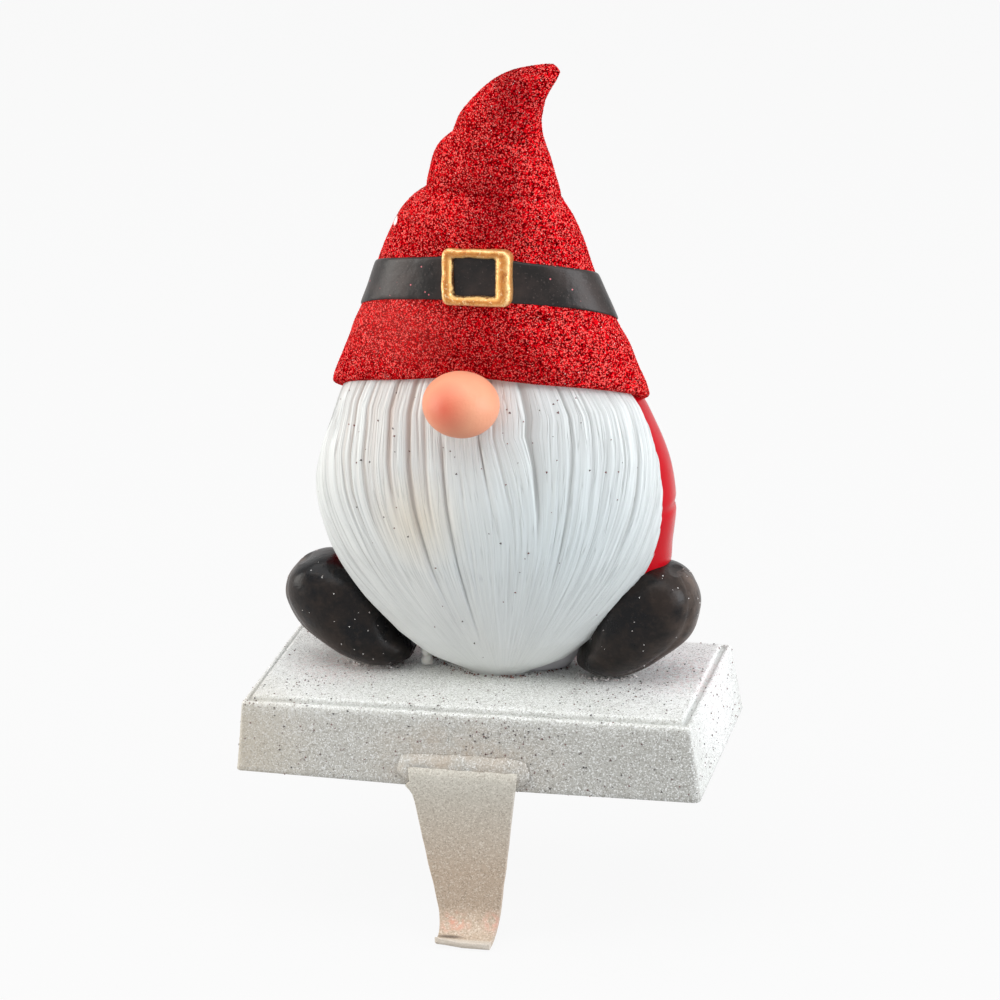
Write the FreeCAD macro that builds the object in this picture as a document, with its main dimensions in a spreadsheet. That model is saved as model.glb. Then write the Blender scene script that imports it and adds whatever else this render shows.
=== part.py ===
import FreeCAD, Part
import math
import os
import Sketcher
from FreeCAD import Placement, Rotation, Vector

# Mantel stocking holder: a cast resin gnome glued on a weighted metal base,
# with a tapered steel strap hook on the front of the base.
# Frame: +Z up, the front looks along -Y, and the origin is the middle of the
# non-slip pad's face, which lies on the shelf.

doc = FreeCAD.newDocument("StockingHolder")
sheet = doc.addObject("Spreadsheet::Sheet", "Sizes")

SIZES = [
    # base block
    ("base_width", 110.0),
    ("base_depth", 52.0),
    ("base_height", 16.8),
    ("base_draft", 2.0),
    ("corner_radius", 1.4),
    ("rim_radius", 0.8),
    ("ledge_width", 2.0),
    ("riser_height", 1.0),
    # non-slip pad
    ("pad_thickness", 1.2),
    ("pad_inset", 3.0),
    ("pad_radius", 2.5),
    # hook strap
    ("strap_thickness", 1.5),
    ("strap_top_width", 26.0),
    ("strap_end_width", 12.8),
    ("strap_lap", 4.4),
    ("hook_drop", 35.8),
    ("bend_radius", 5.6),
    ("lip_length", 0.8),
    ("lip_rise", 10.0),
    ("weld_leg", 1.4),
    ("weld_height", 1.2),
    # figure: belly, beard and coat
    ("figure_shift", 2.6),
    ("belly_width", 81.6),
    ("belly_depth", 19.5),
    ("belly_height", 68.0),
    ("beard_groove", 0.8),
    ("beard_setback", 1.0),
    ("coat_width", 82.4),
    ("coat_depth", 33.0),
    ("coat_setback", 5.5),
    ("coat_shift", 0.6),
    # hat, belt and buckle
    ("brim_width", 73.0),
    ("brim_depth", 34.0),
    ("brim_lift", 8.0),
    ("hat_height", 76.7),
    ("hat_setback", 2.0),
    ("hat_shift", 0.8),
    ("belt_raise", 0.5),
    ("buckle_width", 15.6),
    ("buckle_height", 12.4),
    ("buckle_bar", 2.7),
    ("buckle_raise", 1.6),
    ("buckle_sink", 3.0),
    ("buckle_radius", 1.6),
    ("buckle_shift", 1.6),
    # nose and boots
    ("nose_width", 17.2),
    ("nose_height", 14.6),
    ("nose_depth", 16.6),
    ("nose_setback", 5.0),
    ("boot_length", 36.0),
    ("boot_depth", 20.0),
    ("boot_gap", 39.2),
    ("boot_angle", 3.5),
    ("boot_shift", -0.7),
    # visible bead of glue
    ("glue_radius", 1.55),
    ("glue_shift", 2.2),
]

for row, (alias, value) in enumerate(SIZES, start=1):
    sheet.set("A%d" % row, alias)
    sheet.set("B%d" % row, str(value))
    sheet.setAlias("B%d" % row, alias)
doc.recompute()


def size(alias):
    return float(sheet.get(alias))


def bind(obj, prop, formula):
    obj.setExpression(prop, formula)


def originPlane(body, role):
    return [f for f in body.Origin.OriginFeatures if f.Role == role][0]


def newSketch(body, name, role, height=None):
    sketch = body.newObject("Sketcher::SketchObject", name)
    sketch.AttachmentSupport = [(originPlane(body, role), "")]
    sketch.MapMode = "FlatFace"
    if height:
        bind(sketch, "AttachmentOffset.Base.z", height)
    return sketch


def addSize(sketch, name, constraint, formula):
    index = sketch.addConstraint(constraint)
    sketch.renameConstraint(index, name)
    bind(sketch, "Constraints." + name, formula)


def closedRing(points):
    return Part.makePolygon(points + [points[0]])


def throughRows(rows):
    """Smooth curve through rows of up to three numbers, one unit of its parameter a row."""
    points = [Vector(*row) for row in rows]
    curve = Part.BSplineCurve()
    curve.interpolate(Points=points, Parameters=[float(i) for i in range(len(rows))])
    return curve


def steps(rows, count):
    return [(len(rows) - 1) * i / count for i in range(count + 1)]


def centredRectangle(sketch, width, depth, width_formula, depth_formula):
    """Rectangle about the origin, drawn front edge first."""
    x, y = width / 2, depth / 2
    corners = [Vector(-x, -y, 0), Vector(x, -y, 0), Vector(x, y, 0), Vector(-x, y, 0)]
    for i in range(4):
        sketch.addGeometry(Part.LineSegment(corners[i], corners[(i + 1) % 4]), False)
    for i in range(4):
        sketch.addConstraint(Sketcher.Constraint("Coincident", i, 2, (i + 1) % 4, 1))
    sketch.addConstraint(Sketcher.Constraint("Horizontal", 0))
    sketch.addConstraint(Sketcher.Constraint("Horizontal", 2))
    sketch.addConstraint(Sketcher.Constraint("Vertical", 1))
    sketch.addConstraint(Sketcher.Constraint("Vertical", 3))
    sketch.addConstraint(Sketcher.Constraint("Symmetric", 0, 1, 1, 2, -1, 1))
    addSize(sketch, "wide", Sketcher.Constraint("DistanceX", 0, 1, 0, 2, width), width_formula)
    addSize(sketch, "deep", Sketcher.Constraint("DistanceY", 1, 1, 1, 2, depth), depth_formula)


# Base block: drafted sides, rounded corners and rim, and a raised top plate
# inside a narrow ledge.

FRONT_LEAN = "atan(Sizes.base_draft / Sizes.base_height)"
PLATE_TOP = "Sizes.pad_thickness + Sizes.base_height + Sizes.riser_height"


def makeBase():
    body = doc.addObject("PartDesign::Body", "base_block")
    body.Label = "base_block"

    block = body.newObject("PartDesign::AdditiveWedge", "drafted_block")
    block.AttachmentSupport = [(originPlane(body, "XY_Plane"), "")]
    block.MapMode = "FlatFace"
    block.AttachmentOffset = Placement(Vector(0, 0, 0), Rotation(Vector(1, 0, 0), 90))
    bind(block, "AttachmentOffset.Base.z", "Sizes.pad_thickness")
    bind(block, "Ymin", "0")
    bind(block, "Ymax", "Sizes.base_height")
    for axis, span in (("X", "Sizes.base_width / 2"), ("Z", "Sizes.base_depth / 2")):
        bind(block, axis + "min", "-" + span)
        bind(block, axis + "max", span)
        bind(block, axis + "2min", "Sizes.base_draft - " + span)
        bind(block, axis + "2max", span + " - Sizes.base_draft")
    doc.recompute()

    corners = body.newObject("PartDesign::Fillet", "corner_rounds")
    corners.Base = (block, edgeNames(block.Shape, isUpright))
    bind(corners, "Radius", "Sizes.corner_radius")
    doc.recompute()

    rim_round = body.newObject("PartDesign::Fillet", "rim_round")
    rim_height = size("pad_thickness") + size("base_height")
    rim_round.Base = (corners, edgeNames(corners.Shape, lambda e: isLevel(e, rim_height)))
    bind(rim_round, "Radius", "Sizes.rim_radius")
    doc.recompute()

    plate = newSketch(body, "plate_outline", "XY_Plane", "Sizes.pad_thickness + Sizes.base_height")
    inset = 2 * (size("base_draft") + size("ledge_width"))
    centredRectangle(plate, size("base_width") - inset, size("base_depth") - inset,
                     "Sizes.base_width - 2 * (Sizes.base_draft + Sizes.ledge_width)",
                     "Sizes.base_depth - 2 * (Sizes.base_draft + Sizes.ledge_width)")
    riser = body.newObject("PartDesign::Pad", "top_plate")
    riser.Profile = plate
    bind(riser, "Length", "Sizes.riser_height")
    doc.recompute()

    bevel = body.newObject("PartDesign::Chamfer", "plate_bevel")
    plate_height = rim_height + size("riser_height")
    bevel.Base = (riser, edgeNames(riser.Shape, lambda e: isLevel(e, plate_height)))
    bind(bevel, "Size", "Sizes.riser_height * 0.45")
    doc.recompute()
    return body


def isUpright(edge):
    box = edge.BoundBox
    return box.ZLength > 0.5 and box.ZLength > 2 * max(box.XLength, box.YLength)


def isLevel(edge, height):
    box = edge.BoundBox
    return abs(box.ZMin - height) < 0.01 and abs(box.ZMax - height) < 0.01


def edgeNames(shape, wanted):
    return ["Edge%d" % (i + 1) for i, edge in enumerate(shape.Edges) if wanted(edge)]


# Non-slip pad: one sheet under the base, set in from its edges.

def makePad():
    body = doc.addObject("PartDesign::Body", "non_slip_pad")
    body.Label = "non_slip_pad"
    outline = newSketch(body, "pad_outline", "XY_Plane")
    inset = 2 * size("pad_inset")
    centredRectangle(outline, size("base_width") - inset, size("base_depth") - inset,
                     "Sizes.base_width - 2 * Sizes.pad_inset", "Sizes.base_depth - 2 * Sizes.pad_inset")
    sheet_pad = body.newObject("PartDesign::Pad", "pad_sheet")
    sheet_pad.Profile = outline
    bind(sheet_pad, "Length", "Sizes.pad_thickness")
    doc.recompute()

    corners = body.newObject("PartDesign::Fillet", "pad_corners")
    corners.Base = (sheet_pad, edgeNames(sheet_pad.Shape, isUpright))
    bind(corners, "Radius", "Sizes.pad_radius")
    doc.recompute()
    return body


# Hook: one steel strap. Its tab lies on the drafted front face, it hangs straight
# down and curls forward into a short upturned lip. Its sides taper to the lip.

def frontLean():
    return math.atan2(size("base_draft"), size("base_height"))


def makeHook():
    body = doc.addObject("PartDesign::Body", "hook")
    body.Label = "hook"
    thick = size("strap_thickness")
    lean = frontLean()
    back = -size("base_depth") / 2
    foot = size("pad_thickness")
    lap = size("strap_lap")
    radius = size("bend_radius")
    rise = math.radians(size("lip_rise"))
    lip = size("lip_length")

    seat = Vector(back, foot, 0)
    tab_back = seat + Vector(lap * math.tan(lean), lap, 0)
    outward = Vector(-math.cos(lean), math.sin(lean), 0)
    tab_front = tab_back + outward * thick
    knee = Vector(back - thick, foot + thick * math.tan(lean / 2), 0)
    centre = Vector(back - thick - radius, radius + thick - size("hook_drop"), 0)
    inner_end = centre + Vector(-math.sin(rise), -math.cos(rise), 0) * radius
    outer_end = centre + Vector(-math.sin(rise), -math.cos(rise), 0) * (radius + thick)
    along = Vector(-math.cos(rise), math.sin(rise), 0) * lip

    profile = newSketch(body, "strap_profile", "YZ_Plane")
    add = profile.addGeometry
    add(Part.LineSegment(seat, tab_back), False)
    add(Part.LineSegment(tab_back, tab_front), False)
    add(Part.LineSegment(tab_front, knee), False)
    add(Part.LineSegment(knee, Vector(back - thick, centre.y, 0)), False)
    inner = Part.Circle(centre, Vector(0, 0, 1), radius)
    outer = Part.Circle(centre, Vector(0, 0, 1), radius + thick)
    finish = 1.5 * math.pi - rise
    add(Part.ArcOfCircle(inner, finish, 2 * math.pi), False)
    add(Part.LineSegment(inner_end, inner_end + along), False)
    add(Part.LineSegment(inner_end + along, outer_end + along), False)
    add(Part.LineSegment(outer_end + along, outer_end), False)
    add(Part.ArcOfCircle(outer, finish, 2 * math.pi), False)
    add(Part.LineSegment(Vector(back, centre.y, 0), seat), False)

    join = profile.addConstraint
    join(Sketcher.Constraint("Coincident", 0, 2, 1, 1))
    join(Sketcher.Constraint("Coincident", 1, 2, 2, 1))
    join(Sketcher.Constraint("Coincident", 2, 2, 3, 1))
    join(Sketcher.Constraint("Tangent", 3, 2, 4, 2))
    join(Sketcher.Constraint("Tangent", 4, 1, 5, 1))
    join(Sketcher.Constraint("Coincident", 5, 2, 6, 1))
    join(Sketcher.Constraint("Coincident", 6, 2, 7, 1))
    join(Sketcher.Constraint("Tangent", 7, 2, 8, 1))
    join(Sketcher.Constraint("Tangent", 8, 2, 9, 1))
    join(Sketcher.Constraint("Coincident", 9, 2, 0, 1))
    join(Sketcher.Constraint("Coincident", 4, 3, 8, 3))
    join(Sketcher.Constraint("Vertical", 3))
    join(Sketcher.Constraint("Vertical", 9))
    join(Sketcher.Constraint("Parallel", 0, 2))
    join(Sketcher.Constraint("Perpendicular", 0, 1))
    join(Sketcher.Constraint("Perpendicular", 5, 6))
    addSize(profile, "seat_y", Sketcher.Constraint("DistanceX", 0, 1, -1, 1, -back),
            "Sizes.base_depth / 2")
    addSize(profile, "seat_z", Sketcher.Constraint("DistanceY", -1, 1, 0, 1, foot), "Sizes.pad_thickness")
    addSize(profile, "lap_y", Sketcher.Constraint("DistanceX", 0, 1, 0, 2, lap * math.tan(lean)),
            "Sizes.strap_lap * Sizes.base_draft / Sizes.base_height")
    addSize(profile, "lap_z", Sketcher.Constraint("DistanceY", 0, 1, 0, 2, lap), "Sizes.strap_lap")
    addSize(profile, "gauge", Sketcher.Constraint("Distance", 1, 1, 1, 2, thick), "Sizes.strap_thickness")
    addSize(profile, "bend_in", Sketcher.Constraint("Radius", 4, radius), "Sizes.bend_radius")
    addSize(profile, "bend_out", Sketcher.Constraint("Radius", 8, radius + thick),
            "Sizes.bend_radius + Sizes.strap_thickness")
    addSize(profile, "drop", Sketcher.Constraint("DistanceY", 4, 3, -1, 1, -centre.y),
            "Sizes.hook_drop - Sizes.bend_radius - Sizes.strap_thickness")
    addSize(profile, "lip", Sketcher.Constraint("Distance", 5, 1, 5, 2, lip), "Sizes.lip_length")
    addSize(profile, "lip_x", Sketcher.Constraint("DistanceX", 5, 2, 5, 1, lip * math.cos(rise)),
            "Sizes.lip_length * cos(Sizes.lip_rise * 1deg)")

    strap = body.newObject("PartDesign::Pad", "strap")
    strap.Profile = profile
    strap.Midplane = True
    bind(strap, "Length", "Sizes.strap_top_width")
    doc.recompute()

    taper = newSketch(body, "side_tapers", "XZ_Plane")
    top = foot + lap
    low = -size("hook_drop")
    wide = size("strap_top_width") / 2
    narrow = size("strap_end_width") / 2
    for index, side in enumerate((-1, 1)):
        first = 3 * index
        taper.addGeometry(Part.LineSegment(Vector(side * wide, top, 0), Vector(side * wide, low, 0)), False)
        taper.addGeometry(Part.LineSegment(Vector(side * wide, low, 0), Vector(side * narrow, low, 0)), False)
        taper.addGeometry(Part.LineSegment(Vector(side * narrow, low, 0), Vector(side * wide, top, 0)), False)
        for i in range(3):
            nxt = first + (i + 1) % 3
            taper.addConstraint(Sketcher.Constraint("Coincident", first + i, 2, nxt, 1))
        taper.addConstraint(Sketcher.Constraint("Vertical", first))
        taper.addConstraint(Sketcher.Constraint("Horizontal", first + 1))
        ends = (first, 1, -1, 1) if side < 0 else (-1, 1, first, 1)
        addSize(taper, "wide_%d" % index, Sketcher.Constraint("DistanceX", *ends, wide),
                "Sizes.strap_top_width / 2")
        ends = (first + 2, 1, -1, 1) if side < 0 else (-1, 1, first + 2, 1)
        addSize(taper, "narrow_%d" % index, Sketcher.Constraint("DistanceX", *ends, narrow),
                "Sizes.strap_end_width / 2")
        addSize(taper, "top_%d" % index, Sketcher.Constraint("DistanceY", -1, 1, first, 1, top),
                "Sizes.pad_thickness + Sizes.strap_lap")
        addSize(taper, "low_%d" % index, Sketcher.Constraint("DistanceY", first, 2, -1, 1, -low),
                "Sizes.hook_drop")
    sides = body.newObject("PartDesign::Pocket", "tapered_sides")
    sides.Profile = taper
    sides.Type = "ThroughAll"
    sides.Midplane = True
    doc.recompute()
    return body


# Weld: a fillet bead along the tab's top edge and down its two sides, on the base.

def makeWeld(hook):
    bead = doc.addObject("Part::Wedge", "weld_bead")
    tab = "Sizes.strap_lap / cos(" + FRONT_LEAN + ")"
    bind(bead, "Ymin", "-Sizes.weld_height")
    bind(bead, "Ymax", "0")
    bind(bead, "Xmin", "-Sizes.strap_top_width / 2 - Sizes.weld_leg * 0.3")
    bind(bead, "Xmax", "Sizes.strap_top_width / 2 + Sizes.weld_leg * 0.3")
    bind(bead, "Zmin", "0")
    bind(bead, "Zmax", tab + " + Sizes.weld_leg * 0.3")
    bind(bead, "X2min", "-Sizes.strap_top_width / 2 - Sizes.weld_leg")
    bind(bead, "X2max", "Sizes.strap_top_width / 2 + Sizes.weld_leg")
    bind(bead, "Z2min", "0")
    bind(bead, "Z2max", tab + " + Sizes.weld_leg")
    bind(bead, "Placement.Base.y", "-Sizes.base_depth / 2")
    bind(bead, "Placement.Base.z", "Sizes.pad_thickness")
    bind(bead, "Placement.Rotation.Axis.x", "1")
    bind(bead, "Placement.Rotation.Axis.z", "0")
    bind(bead, "Placement.Rotation.Angle", "-" + FRONT_LEAN)
    weld = doc.addObject("Part::Cut", "hook_weld")
    weld.Label = "hook_weld"
    weld.Base = bead
    weld.Tool = hook
    return weld


# Gnome figure: one resin casting, built from its forms and fused.

# Beard sections: height, half width and swell, as shares of the belly's sizes.
BEARD_SECTIONS = [
    (-0.012, 0.13, 0.10), (0.07, 0.40, 0.40), (0.16, 0.585, 0.62), (0.29, 0.775, 0.82),
    (0.43, 0.915, 0.95), (0.56, 0.98, 1.0), (0.69, 0.995, 1.0), (0.82, 0.95, 0.94),
    (0.92, 0.885, 0.86), (1.0, 0.83, 0.78), (1.08, 0.755, 0.69), (1.15, 0.66, 0.6),
]
BEARD_LEVELS = 18

# Angles of the grooves between the locks at the brim, from the left edge of the
# beard round the front to its right edge. Further down the locks gather towards
# the gather angle, by the share that is left at the foot.
LOCK_ANGLES = [0, 19, 31, 42, 52, 61.5, 69, 82.5, 94, 105, 116, 126, 136, 146, 155, 164, 172, 180]
GATHER_ANGLE = 97
GATHER_AT_FOOT = 0.36


def gathered(angle, level):
    """Angle of a groove at a level of the beard."""
    keep = min(1, GATHER_AT_FOOT + (1 - GATHER_AT_FOOT) * max(0, level))
    side = GATHER_ANGLE if angle < GATHER_ANGLE else 180 - GATHER_ANGLE
    share = (angle - GATHER_ANGLE) / side
    return GATHER_ANGLE + side * share * (keep + (1 - keep) * share ** 2)


def beardLobes(level, height, half_width, swell, mid_x, mid_y, groove):
    """One section: facets over each lock, closed by a shallow back."""
    centre = Vector(mid_x, mid_y, height)

    def onFront(angle, depth):
        turn = math.radians(angle)
        reach = Vector(-half_width * math.cos(turn), -swell * math.sin(turn), 0)
        return centre + reach * (1 - depth / reach.Length)

    points = [onFront(0, 0)]
    for lock, (start, end) in enumerate(zip(LOCK_ANGLES, LOCK_ANGLES[1:])):
        facets = 7 if lock == 0 else 4 if end - start > 10 else 3
        start, end = gathered(start, level), gathered(end, level)
        for i in range(1, facets):
            points.append(onFront(start + (end - start) * (i - 0.1 * (2 * i - facets)) / facets, 0))
        points.append(onFront(end, groove if end < 180 else 0))
    back = 0.22 * swell
    points.append(centre + Vector(0.8 * half_width, back, 0))
    points.append(centre + Vector(-0.8 * half_width, back, 0))
    return closedRing(points)


def makeBeard(plate):
    profile = throughRows(BEARD_SECTIONS)
    wires = []
    for step in steps(BEARD_SECTIONS, BEARD_LEVELS):
        level, width, swell = profile.value(step)
        wires.append(beardLobes(
            level, plate + level * size("belly_height"), width * size("belly_width") / 2,
            swell * size("belly_depth"), size("figure_shift"), -size("beard_setback"),
            size("beard_groove") * min(1, 1.4 * width)))
    return Part.makeLoft(wires, True, True)


# Coat sections: height, half width and half depth, as shares of the coat's sizes.
COAT_SECTIONS = [
    (-0.012, 0.24, 0.34), (0.07, 0.42, 0.52), (0.2, 0.7, 0.74), (0.34, 0.93, 0.9),
    (0.47, 0.975, 0.97), (0.6, 1.0, 1.0), (0.74, 0.98, 0.98), (0.87, 0.91, 0.92),
    (0.99, 0.81, 0.84), (1.1, 0.63, 0.7),
]
COAT_FULLNESS = 2.4


def fullRing(centre, half_width, half_depth, fullness, count=40):
    """Ring between an ellipse and a rounded rectangle."""
    points = []
    for i in range(count):
        turn = 2 * math.pi * i / count
        c, s = math.cos(turn), math.sin(turn)
        reach = (abs(c) ** fullness + abs(s) ** fullness) ** (-1 / fullness)
        points.append(centre + Vector(half_width * c * reach, half_depth * s * reach, 0))
    return closedRing(points)


def makeCoat(plate):
    profile = throughRows(COAT_SECTIONS)
    mid_x = size("figure_shift") + size("coat_shift")
    wires = []
    for step in steps(COAT_SECTIONS, 14):
        level, width, depth = profile.value(step)
        centre = Vector(mid_x, size("coat_setback"), plate + level * size("belly_height"))
        wires.append(fullRing(centre, width * size("coat_width") / 2,
                              depth * size("coat_depth") / 2, COAT_FULLNESS))
    return Part.makeLoft(wires, True, True)


# Hat sections, from the brim to the tip: the left and right ends of each ring
# (across, up), its half depth and how far its front is lifted. Across and depth
# are shares of the brim's half sizes, up is a share of the hat's height, and lift
# is a share of the brim's lift. The two creases part the three soft folds.
HAT_LOWER = [
    (-0.97, 0.0, 0.985, 0.0, 0.955, 1.0), (-0.99, 0.022, 1.003, 0.02, 1.0, 1.0),
    (-0.888, 0.128, 0.935, 0.125, 0.94, 1.0), (-0.776, 0.252, 0.824, 0.241, 0.86, 0.95),
    (-0.662, 0.391, 0.706, 0.378, 0.75, 0.73), (-0.591, 0.477, 0.643, 0.476, 0.68, 0.56),
    (-0.508, 0.544, 0.585, 0.54, 0.62, 0.4), (-0.407, 0.598, 0.534, 0.579, 0.56, 0.25),
    (-0.325, 0.63, 0.504, 0.602, 0.505, 0.15),
]
HAT_MIDDLE = [
    HAT_LOWER[-1], (-0.324, 0.661, 0.493, 0.639, 0.505, 0.1), (-0.292, 0.717, 0.463, 0.704, 0.455, 0.05),
    (-0.232, 0.761, 0.436, 0.75, 0.4, 0.0), (-0.146, 0.797, 0.412, 0.79, 0.355, 0.0),
]
HAT_TIP = [
    HAT_MIDDLE[-1], (-0.1, 0.847, 0.402, 0.824, 0.345, 0.0), (-0.02, 0.889, 0.411, 0.853, 0.32, 0.0),
    (0.118, 0.947, 0.436, 0.889, 0.265, 0.0), (0.262, 0.98, 0.481, 0.923, 0.19, 0.0),
    (0.416, 0.996, 0.521, 0.95, 0.115, 0.0), (0.499, 0.9987, 0.545, 0.974, 0.055, 0.0),
]
BELT_LOW, BELT_HIGH = HAT_LOWER[3], HAT_LOWER[4]


def hatPoint(section, turn, brim, grow=0.0):
    """Point on a hat ring: turn 0 is the right end, 270 degrees the front."""
    left_x, left_z, right_x, right_z, depth, lift = section
    half, tall = size("brim_width") / 2, size("hat_height")
    mid_x = size("figure_shift") + size("hat_shift")
    left = Vector(mid_x + left_x * half, size("hat_setback"), brim + left_z * tall)
    right = Vector(mid_x + right_x * half, size("hat_setback"), brim + right_z * tall)
    across = (right - left) * 0.5
    across *= 1 + grow / across.Length
    reach = depth * size("brim_depth") / 2 + grow
    front = Vector(0, -reach, lift * size("brim_lift"))
    return (left + right) * 0.5 + across * math.cos(turn) - front * math.sin(turn)


def hatRing(section, brim, grow=0.0, count=32):
    return closedRing([hatPoint(section, 2 * math.pi * i / count, brim, grow) for i in range(count)])


def hatFold(rows, brim, count):
    """One soft fold of the hat: its sections eased along smooth curves."""
    left = throughRows([row[0:2] for row in rows])
    right = throughRows([row[2:4] for row in rows])
    front = throughRows([row[4:6] for row in rows])
    rings = []
    for step in steps(rows, count):
        ends = [left.value(step), right.value(step), front.value(step)]
        rings.append(hatRing([share for end in ends for share in (end.x, end.y)], brim))
    return Part.makeLoft(rings, True, True)


def makeHat(brim):
    return hatFold(HAT_LOWER, brim, 12).fuse([hatFold(HAT_MIDDLE, brim, 6), hatFold(HAT_TIP, brim, 9)])


def makeBelt(brim):
    grow = size("belt_raise")
    return Part.makeLoft([hatRing(BELT_LOW, brim, grow), hatRing(BELT_HIGH, brim, grow)], True, True)


def roundedPlate(width, height, radius, thickness):
    plate = Part.makeBox(width, thickness, height, Vector(-width / 2, 0, -height / 2))
    return plate.makeFillet(radius, [e for e in plate.Edges if e.BoundBox.YLength > thickness * 0.9])


def makeBuckle(brim):
    """Rounded frame that leans back with the belt and is sunk into it."""
    front = 1.5 * math.pi
    low = hatPoint(BELT_LOW, front, brim, size("belt_raise"))
    high = hatPoint(BELT_HIGH, front, brim, size("belt_raise"))
    middle = low + (high - low) * 0.58
    lean = math.degrees(math.atan2(high.y - low.y, high.z - low.z))
    bar, radius = size("buckle_bar"), size("buckle_radius")
    thick = size("buckle_sink") + size("buckle_raise")
    ring = roundedPlate(size("buckle_width"), size("buckle_height"), radius, thick)
    hole = roundedPlate(size("buckle_width") - 2 * bar, size("buckle_height") - 2 * bar, 0.4 * radius, thick)
    frame = ring.cut(hole)
    frame.Placement = Placement(middle + Vector(size("buckle_shift"), -size("buckle_raise"), 0),
                                Rotation(Vector(1, 0, 0), -lean))
    return frame


# Boot sections from the inner end to the outer: the low and high ends of each
# ring (outward, up) as shares of the boot's length, and its share of the depth.
BOOT_SECTIONS = [
    (0.033, 0.044, 0.0, 0.122, 0.3), (0.133, 0.0, 0.053, 0.222, 0.66), (0.283, -0.01, 0.156, 0.306, 0.86),
    (0.467, 0.05, 0.258, 0.406, 0.96), (0.647, 0.156, 0.347, 0.517, 1.0), (0.78, 0.294, 0.417, 0.628, 1.0),
    (0.838, 0.45, 0.48, 0.69, 0.92), (0.813, 0.585, 0.562, 0.738, 0.72), (0.75, 0.668, 0.655, 0.712, 0.36),
]


def makeBoot(plate, side, turn):
    length = size("boot_length")
    start_x = size("figure_shift") + size("boot_shift") + side * size("boot_gap") / 2
    start = Vector(start_x, size("boot_depth") * 0.12, plate)
    low_ends = throughRows([row[0:2] for row in BOOT_SECTIONS])
    high_ends = throughRows([row[2:5] for row in BOOT_SECTIONS])
    wires = []
    for step in steps(BOOT_SECTIONS, 12):
        low, high = low_ends.value(step), high_ends.value(step)
        reach = Vector(0, high.z * size("boot_depth") / 2, 0)
        low = start + Vector(side * low.x, 0, low.y) * length
        high = start + Vector(side * high.x, 0, high.y) * length
        middle, half = (low + high) * 0.5, (high - low) * 0.5
        ring = []
        for i in range(18):
            angle = math.pi * i / 9
            ring.append(middle + half * math.cos(angle) + reach * math.sin(angle))
        wires.append(closedRing(ring))
    boot = Part.makeLoft(wires, True, True)
    boot.rotate(start, Vector(0, -side, 0), turn)
    return boot


def ovoid(middle, width, depth, height, sides, levels):
    """Egg shape of level rings, closed by small flat ends."""
    rings = []
    for level in range(levels):
        up = math.pi * ((level + 0.4) / (levels - 0.2) - 0.5)
        ring = []
        for i in range(sides):
            turn = 2 * math.pi * i / sides
            ring.append(middle + Vector(width / 2 * math.cos(up) * math.cos(turn),
                                        depth / 2 * math.cos(up) * math.sin(turn),
                                        height / 2 * math.sin(up)))
        rings.append(closedRing(ring))
    return Part.makeLoft(rings, True, True)


def sculpted(name, shape):
    form = doc.addObject("Part::Feature", name)
    form.Shape = shape
    return form


def flatFoot(form, below):
    """The form cut off level where it stands on the plate."""
    foot = doc.addObject("Part::Cut", form.Name + "_foot")
    foot.Base = form
    foot.Tool = below
    foot.Refine = False
    return foot


def makeFigure():
    plate = size("pad_thickness") + size("base_height") + size("riser_height")
    brim = plate + size("belly_height")

    below = doc.addObject("Part::Box", "below_plate")
    bind(below, "Length", "Sizes.belly_width * 2")
    bind(below, "Width", "Sizes.coat_depth * 4")
    bind(below, "Height", "Sizes.belly_height / 4")
    bind(below, "Placement.Base.x", "-Sizes.belly_width")
    bind(below, "Placement.Base.y", "-Sizes.coat_depth * 2")
    bind(below, "Placement.Base.z", PLATE_TOP + " - Sizes.belly_height / 4")

    nose_middle = Vector(size("figure_shift"),
                         size("hat_setback") - size("brim_depth") / 2 - size("nose_setback"),
                         brim + size("brim_lift") - 0.23 * size("nose_height"))
    nose = sculpted("nose", ovoid(nose_middle, size("nose_width"), size("nose_depth"),
                                  size("nose_height"), 28, 13))
    coat = flatFoot(sculpted("coat", makeCoat(plate)), below)
    beard = flatFoot(sculpted("beard", makeBeard(plate)), below)
    hat = sculpted("hat", makeHat(brim))
    belt = sculpted("belt", makeBelt(brim))
    buckle = sculpted("buckle", makeBuckle(brim))
    left_boot = flatFoot(sculpted("left_boot", makeBoot(plate, -1, 0)), below)
    right_boot = flatFoot(sculpted("right_boot", makeBoot(plate, 1, size("boot_angle"))), below)

    figure = doc.addObject("Part::MultiFuse", "gnome_figure")
    figure.Label = "gnome_figure"
    figure.Shapes = [coat, beard, hat, belt, buckle, nose, left_boot, right_boot]
    figure.Refine = False
    return figure


# Glue bead: two drops that squeezed out between the left boot and the beard.

def makeGlue(figure):
    plate = size("pad_thickness") + size("base_height") + size("riser_height")
    radius = size("glue_radius")
    place_x = size("figure_shift") - size("boot_gap") / 2 + size("glue_shift")
    drops = []
    for name, up, share in (("glue_low", 0.8, 1.0), ("glue_high", 2.1, 0.95)):
        middle = Vector(place_x, size("boot_depth") * 0.02, plate + radius * up)
        width = 2 * radius * share
        drops.append(sculpted(name, ovoid(middle, width, width, width, 14, 7)))
    bead = doc.addObject("Part::MultiFuse", "glue_drops")
    bead.Shapes = drops
    bead.Refine = False
    off_plate = flatFoot(bead, doc.getObject("below_plate"))
    glue = doc.addObject("Part::Cut", "glue_bead")
    glue.Label = "glue_bead"
    glue.Base = off_plate
    glue.Tool = figure
    glue.Refine = False
    return glue


base = makeBase()
pad = makePad()
hook = makeHook()
weld = makeWeld(hook)
figure = makeFigure()
doc.recompute()
glue = makeGlue(figure)
doc.recompute()

for obj in doc.Objects:
    if "Invalid" in obj.State or "Error" in obj.State:
        raise RuntimeError("%s failed: %s" % (obj.Name, obj.State))

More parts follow.
